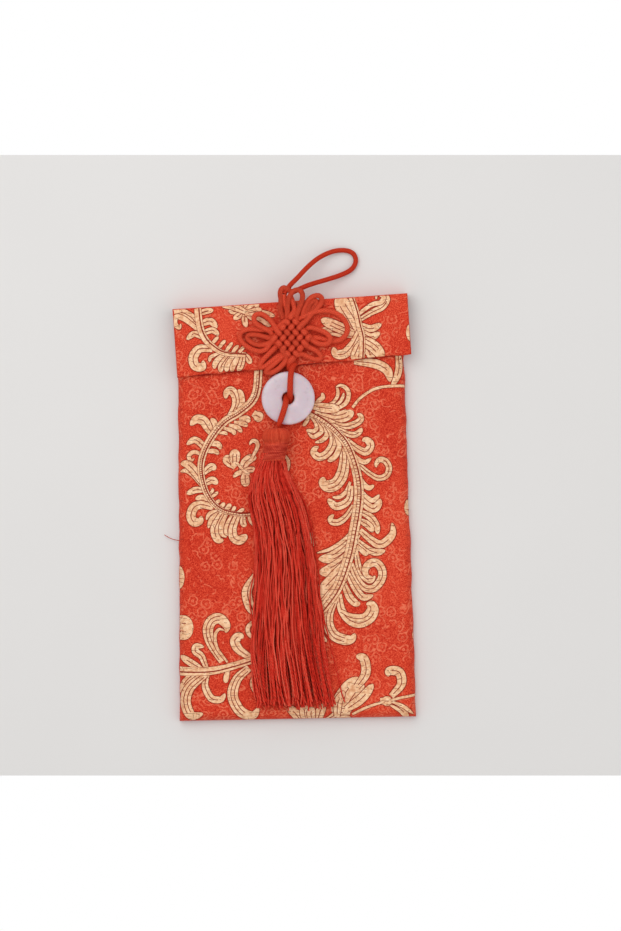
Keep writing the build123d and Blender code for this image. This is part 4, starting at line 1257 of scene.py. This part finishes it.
FRONT_SPINES = (
    (((260, 366), (258.5, 389), (253, 402.5), (239.6, 414), (226, 422.5), (214.7, 435.7),
      (206.4, 450.6), (202.7, 464), (203.5, 477.3), (208.4, 493), (217.3, 505), (229.2, 511),
      (248, 513), (264, 507)), 8, 8, 3),
    (((309, 411), (326, 421), (339, 432.4), (349, 445.6), (357.3, 468), (360.7, 489),
      (359.7, 507), (355.7, 530.7), (349.8, 558.4), (338, 590), (318, 617)), 4, 12, 9),
    (((318, 617), (301, 636), (281, 650), (258, 658), (233, 666), (209.4, 671), (176, 671)),
     8, 5, 9),
    (((352, 407.5), (360.5, 397.5), (374, 389), (390.5, 386), (408, 386)), 2.6, 2.6, 2.6),
    (((352, 713), (366, 706), (384, 700)), 2.4, 2.4, 2.4),
    (((390, 699), (402, 696), (420, 693)), 2.4, 2.4, 2.4),
    (((237, 462), (244, 470), (250, 474)), 2.5, 2.5, 2.5))
FRONT_LEAVES = (
    (4, 316, 403.5, 320, 400, 322.8, 397.4, 322, 393),
    (2.8, 322, 406, 331.5, 403.7, 337, 397.4, 337.7, 390.8, 335.7, 386),
    (2.6, 330.7, 409, 339, 403, 342.7, 397.4, 343.5, 393),
    (3.6, 331.5, 411.5, 340, 407.4, 346.4, 402.4, 348.5, 395, 346.4, 389, 340.6, 385.8,
     335.7, 387.5), (8, 316, 407, 328, 408.5, 340, 409),
    (10, 318, 412.4, 333, 417.3, 343, 416.5, 349, 413, 350, 410),
    (5.5, 333, 423, 343, 426.5, 353, 424.8, 359.7, 420.7, 360.5, 416.5, 357, 414),
    (5, 340, 430, 348, 434, 354.7, 434.8, 359.7, 431.4, 361.4, 427.7),
    (6.5, 349, 442, 356.4, 448, 364.7, 452, 369.7, 448, 369.7, 443, 365.5, 439.7, 361.8, 441),
    (4, 354.7, 455.5, 359.7, 460.5, 365.5, 462, 371, 458),
    (5.2, 359.7, 465.4, 368.8, 473, 378, 478, 386, 475.4, 388.7, 468, 385.4, 461.3, 379.6, 459.6,
     376, 463.8, 376, 467.5), (4.5, 360.5, 478.7, 363.8, 484.5, 368.8, 487.8, 373.8, 485),
    (4, 361.4, 491, 366.3, 497, 372, 500.3, 376.3, 497.8, 379, 494.5),
    (7, 361.4, 499.4, 366.3, 505, 373, 508.5, 378, 504.4, 380, 498.6),
    (3.2, 308.3, 415.7, 307.5, 419.8, 305, 424, 303, 426),
    (3.4, 310, 415.7, 315.3, 422.3, 316.6, 428, 313.3, 431.4, 308.3, 430.6, 306.6, 431.5),
    (3.6, 315.8, 418, 320, 424, 321.6, 431.4, 316.6, 435.6, 312.4, 436.8, 307.5, 432.3),
    (4, 319, 419.8, 325.7, 428, 326.5, 435.6, 321.6, 440.6, 315, 442.6),
    (6.5, 327.4, 425.6, 332.3, 434.8, 332.3, 444.7, 326.5, 453.8, 319, 457, 314, 453, 315, 448.8,
     318.7, 446.8), (4.5, 335.7, 434.8, 339, 446.4, 335.7, 455.5, 330.7, 459.6, 327.4, 460.5),
    (10.5, 344.4, 451.3, 344, 463.8, 341.5, 475.4, 335.7, 483.7, 328, 486, 323, 482, 324, 477),
    (3.4, 349, 484.5, 345.6, 492, 339, 497, 332.3, 497),
    (6.5, 350.6, 488.7, 349, 498.6, 343, 504.4, 335.7, 506, 330.7, 502, 328, 498.6),
    (5.5, 351.8, 507.8, 346.3, 516, 339, 521.7, 332.4, 521.7, 330.5, 518, 333.8, 514.3),
    (3, 355.5, 526.3, 344.4, 539, 330.5, 548.5, 316.7, 552.6),
    (10, 355.5, 535.5, 344.4, 548.5, 332.4, 556.8, 318.5, 558.7),
    (11, 353.7, 549.4, 343.5, 561.4, 330.5, 569.8, 319, 572),
    (15, 348, 564, 339, 576, 327.8, 588, 316, 600), (8, 340, 583, 328, 598, 314, 614),
    (9, 333.3, 602, 328.7, 614, 328.7, 625.3, 334, 634.5, 344.4, 639, 351.8, 638, 354.6, 632.7),
    (4, 321.3, 618, 322, 634.5, 326.8, 641), (4, 320, 586, 317, 600, 317, 612),
    (6, 362, 512.4, 370.3, 517, 376, 525.4, 377.5, 533.7),
    (6, 361, 520.7, 368.5, 525.4, 373, 531.8),
    (7, 362, 531.8, 370.3, 539, 378.6, 544, 386, 541, 392.5, 532.8, 391.6, 522.6),
    (6, 359, 542, 368.5, 549.4, 376.8, 552, 385, 550), (4, 359, 547.6, 364.8, 553, 367.5, 552),
    (5.5, 356.4, 555, 359, 568, 363.8, 576, 370.3, 580, 375, 575.3),
    (7, 351.8, 566, 357.4, 579, 364.8, 587.3, 374, 587.3, 381.4, 578, 381.4, 568.8, 376, 562.4,
     369.4, 563.3, 365, 568.8, 366.6, 575.3, 373, 577),
    (6, 348, 573.5, 354.6, 586.4, 363, 596.6, 373, 594.7),
    (6.5, 344.4, 584.6, 349, 595.7, 354.6, 602, 360, 603.5),
    (8, 339, 596.6, 341.6, 609.5, 349, 618.8, 359, 622.5, 369.4, 618, 374, 609.5, 371, 603,
     366, 604),
    (3.4, 343.5, 611.4, 351.8, 615, 363, 615, 368.5, 608.6, 367.5, 605),
    (7, 229, 418.7, 235.3, 407.4, 236.3, 398.3, 232, 391, 227, 393, 226, 399.3),
    (4.4, 237.3, 412.6, 242.4, 403.4, 241.4, 394, 238.3, 390),
    (8, 212.8, 434, 208.7, 428, 203.6, 420.7, 196.5, 419.7, 191, 425.8),
    (4.6, 216, 429, 215, 422.8, 211.3, 418.7),
    (5.6, 205.7, 450.3, 200.6, 443, 194.4, 440, 187.3, 444.7),
    (3.4, 203.6, 458.5, 199.6, 453.4, 193.4, 452.3, 189.3, 456.4, 191.4, 460.5, 195, 458.5),
    (7, 202.6, 482, 195.5, 471.7, 188.3, 464.6, 181, 463.6),
    (4, 201.6, 485, 194.4, 475.8, 187.3, 470.7, 180.7, 471.7),
    (5.4, 202.6, 490, 195.5, 490, 187.3, 494),
    (4.2, 207.7, 499.3, 201.6, 497, 196, 499.3),
    (8, 210.8, 506.4, 201.6, 504.4, 194.4, 507.4, 191.4, 515.6, 194.4, 521.7, 200.6, 520.7,
     201.6, 515.6),
    (3, 216, 510.5, 209.8, 513.6, 206.7, 519.7), (3.6, 219, 512.6, 211.8, 518.7, 208.7, 528),
    (7.2, 222, 514, 218, 521.7, 215, 530, 218, 539, 224, 540),
    (4, 226, 515.6, 222, 524.8, 222, 533, 227, 537),
    (3, 231, 516.6, 227, 524.8, 226, 532, 229, 535),
    (7.6, 237.3, 516.6, 233, 528, 234, 537, 239.3, 540, 244.4, 537, 246.5, 534),
    (5, 243.4, 516.6, 243.4, 522.8, 246.5, 525.8), (8.6, 256, 415, 259, 417, 263, 419),
    (3, 222, 433, 225, 433, 228, 434.5), (4, 227, 429, 233, 431, 235.3, 435),
    (4, 232, 425.8, 238.3, 428, 242, 432.4), (4.4, 237.3, 422.8, 243.4, 423.8, 248, 426.3),
    (4.8, 242.4, 418.7, 247.5, 418.7, 249, 422.8), (4.8, 211.8, 444, 218, 444, 221.5, 449.3),
    (4, 208.7, 451.3, 215, 451.3, 219.5, 454), (6, 205.7, 471.7, 211.8, 466.6, 216, 469.7),
    (6, 206.7, 483, 212.8, 480, 218, 484), (2.6, 208.7, 495, 212.8, 491, 212.8, 488),
    (2.6, 211.8, 497, 216, 494, 218.4, 491.6), (3, 216, 503.4, 218, 501.5, 220.5, 500),
    (3.4, 220, 507.4, 223, 505, 225, 502.5), (4, 226, 509.5, 229, 506.5, 230.7, 503.4),
    (3, 233, 510.5, 234.5, 508, 235.3, 506), (3, 239.3, 511.5, 242, 510, 244.4, 508.5),
    (9, 234, 465, 229.5, 461, 224, 457), (9, 235, 463, 235, 456, 236.5, 449.5),
    (7.5, 242.4, 469.7, 245.5, 462.6, 250.6, 458.5, 256.7, 457.4),
    (3.4, 253.6, 455.4, 257.7, 447, 256.7, 442, 252.6, 441, 249.6, 445),
    (4, 250.6, 470.7, 243.4, 471.7, 237.3, 473.8, 233.7, 477.3),
    (7.5, 245.5, 474.8, 245.5, 481, 247.5, 486), (5, 247, 470, 252, 469.5, 255, 471),
    (3, 285, 455.6, 288.5, 461.5, 287.5, 469.4, 284.6, 474.4),
    (14, 414, 507, 409, 507, 404, 507), (13, 420, 634, 416, 634, 412, 634),
    (8, 357, 362, 375.6, 364.4, 387, 371, 389.7, 382),
    (6, 397, 351, 398.8, 364.4, 397, 376, 391, 387.6),
    (9, 221, 658, 211, 642, 208.4, 629, 212.4, 620, 220.3, 618, 227, 625, 226, 632),
    (2.6, 226, 659, 217.5, 647, 215.5, 635, 219.5, 628.5, 225, 630),
    (8, 248, 655, 239, 648.5, 235, 640.5, 239.5, 635.5, 244, 636.5),
    (6, 206, 665, 202, 655.5, 196, 650.5, 197, 645.5, 204.5, 646),
    (9, 203.5, 675, 190, 687, 186, 701, 192, 714.5, 203.5, 712.5),
    (6, 207.4, 675, 205.5, 685, 211.5, 697, 221, 698.5, 225.5, 692.5),
    (9, 247, 669, 237, 679, 233, 695, 241, 710.5, 253, 714.5, 259, 706.5),
    (4.5, 228, 671, 226.5, 677, 226, 682), (6, 193, 674, 186, 681, 180, 692),
    (6, 200, 667, 190, 661, 181, 655), (21, 172, 627, 183, 627, 194, 627),
    (20, 172, 577, 178, 577, 185, 577), (4.5, 255, 574, 245, 590, 248, 606, 254, 614),
    (3, 256, 576, 250, 592, 255, 610), (9, 268, 597, 261, 588, 262, 577),
    (9, 268, 597, 278, 590, 282, 580), (9, 268, 597, 280, 602, 290, 600),
    (9, 268, 597, 268, 609, 262, 620), (9, 268, 597, 277, 611, 280, 620),
    (6, 250, 515, 254, 522, 262, 524), (6, 256, 512, 263, 517, 271, 515),
    (5, 254, 509, 258, 502, 265, 499), (8, 290, 644, 296, 655, 308, 658),
    (8, 276, 652, 272, 664, 280, 676), (3.5, 256, 619, 248.5, 626, 249, 633, 255, 639),
    (3, 255, 648, 253.5, 656, 254, 664), (3, 254, 675, 252, 683, 255, 692),
    (3, 311.5, 535, 312.5, 541, 314.5, 546), (2.6, 323.5, 647, 325, 654, 325.5, 661),
    (7, 337, 713, 338, 701, 344, 690), (20, 338, 711, 348, 695, 361, 677),
    (8, 358, 684, 365.6, 672, 363.6, 658, 355.7, 655.5), (8, 348, 707, 361.7, 697, 373, 683),
    (8, 383, 700, 387, 700, 391.5, 700),
    (8, 393, 693, 401, 683, 399, 671.5, 389, 670, 387.8, 675.5),
    (6, 391, 702.7, 401, 708.6, 408, 718), (3, 395, 702, 404, 706, 413, 713),
    (8, 300, 719, 295, 712, 288, 706), (8, 306, 719, 304.5, 711, 305, 703),
    (7, 312, 720, 311, 712, 313, 706), (8, 318, 719, 320, 711, 324, 703),
    (9, 330, 719, 340, 714, 350, 711), (6, 335, 720, 344, 718, 352, 719))
INSIDE = 0.25 * MM
RIM_IN = 1.8 * MM                  # the back's cloth starts to turn up this far in
BACK_SHIFT = 9 * MM                # the figure falls elsewhere on the back's cloth


def pouch_edges(inset, top, top_away):
    """Planes that cut a figure off inside the pouch's sides, its bottom and a top edge."""
    away = Vector((FOLD_Y - BASE_Y, BASE_HALF - HEAD_HALF, 0)).normalized()
    sides = [(Vector((s * (BASE_HALF - inset), BASE_Y, 0)), Vector((s * away.x, away.y, 0)))
             for s in (-1, 1)]
    return [*sides, (Vector((0, BASE_Y + inset, 0)), Vector((0, -1, 0))), (top, top_away)]


front_edges = pouch_edges(INSIDE, Vector((0, MOUTH_Y - INSIDE, 0)), Vector((0, 1, 0)))
front_gold = gold_figure("front_gold", FRONT_SPINES, FRONT_LEAVES, front_level, front_edges,
                         under_pixel)
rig.ride(front_gold, "pouch")
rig.slot(front_gold, "brocade")
low_left = by_crease(-FLAP_HALF, -FLAP_LEFT + INSIDE, 0)
low_away = (by_crease(FLAP_HALF, -FLAP_RIGHT + INSIDE, 0) - low_left).cross(Vector((0, 0, 1)))
flap_edges = [(by_crease(s * (FLAP_HALF - INSIDE), 0, 0), CREASE * s) for s in (-1, 1)]
flap_edges += [(low_left, low_away), (by_crease(0, -0.4 * MM, 0), OVER)]


def flap_height(x, y):
    """Height of the flap's face over a place on the table."""
    spot = Vector((x, y, 0)) - CREASE_MID
    return flap_level(spot.dot(CREASE), spot.dot(OVER))


flap_gold = gold_figure("flap_gold", FLAP_SPINES, FLAP_LEAVES, flap_height, flap_edges,
                        under_pixel)
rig.ride(flap_gold, "flap")
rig.slot(flap_gold, "brocade")


def behind(column, row):
    """Place on the back, where the same figure falls mirrored and further along."""
    x, y = under_pixel(column, row)
    return -x - BACK_SHIFT, y


back_edges = pouch_edges(RIM_IN, by_crease(0, -SPINE_TURN, 0), OVER)
back_gold = gold_figure("back_gold", FRONT_SPINES + FLAP_SPINES, FRONT_LEAVES + FLAP_LEAVES,
                        lambda x, y: BACK_FACE, back_edges, behind, face_up=False)
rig.ride(back_gold, "pouch")
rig.slot(back_gold, "brocade")

# The table: a plain pale sheet that ends where the photograph does, in soft even light.
TABLE_EDGES = ((-4, 155), (626, 775.5))
table_paper = Finish("table_paper", roughness=0.9)
table_paper.feed("Base Color", table_paper.grain(60.0).mix(dye(226, 224, 222),
                                                           dye(229, 227, 225)))
bm = bmesh.new()
(low_x, high_y), (high_x, low_y) = TABLE_EDGES
corners = [bm.verts.new((*under_pixel(*p), -0.05 * MM))
           for p in ((low_x, low_y), (high_x, low_y), (high_x, high_y), (low_x, high_y))]
bm.faces.new(corners)
table = add_piece("table", bm, table_paper.material)
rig.stage(table)

world = bpy.data.worlds.new("studio")
scene.world = world
world.use_nodes = True
sky = world.node_tree
back = sky.nodes["Background"]
rays = Tone(sky).node("ShaderNodeLightPath", {})
seen = rays + Tone(sky, rays.socket.node.outputs["Is Glossy Ray"]) + Tone(
    sky, rays.socket.node.outputs["Is Transmission Ray"])
sky.links.new((0.60 + 0.40 * seen.maths("MINIMUM", 1.0)).socket, back.inputs["Strength"])
back.inputs["Color"].default_value = (1, 1, 1, 1)

for name, place, size, power in (("window", (-0.25, 0.35, 0.75), 0.7, 2.75),
                                 ("fill", (0.4, -0.15, 0.7), 0.8, 1.0)):
    lamp = bpy.data.lights.new(name, "AREA")
    lamp.energy, lamp.size = power, size
    holder = bpy.data.objects.new(name, lamp)
    holder.location = place
    holder.rotation_euler = Vector(place).to_track_quat("Z", "Y").to_euler()
    scene.collection.objects.link(holder)

with open("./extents.json", "w") as out:
    json.dump({"cad": [list(c) for c in CAD_BOX], "visual": [list(c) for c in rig.bounds()]}, out)
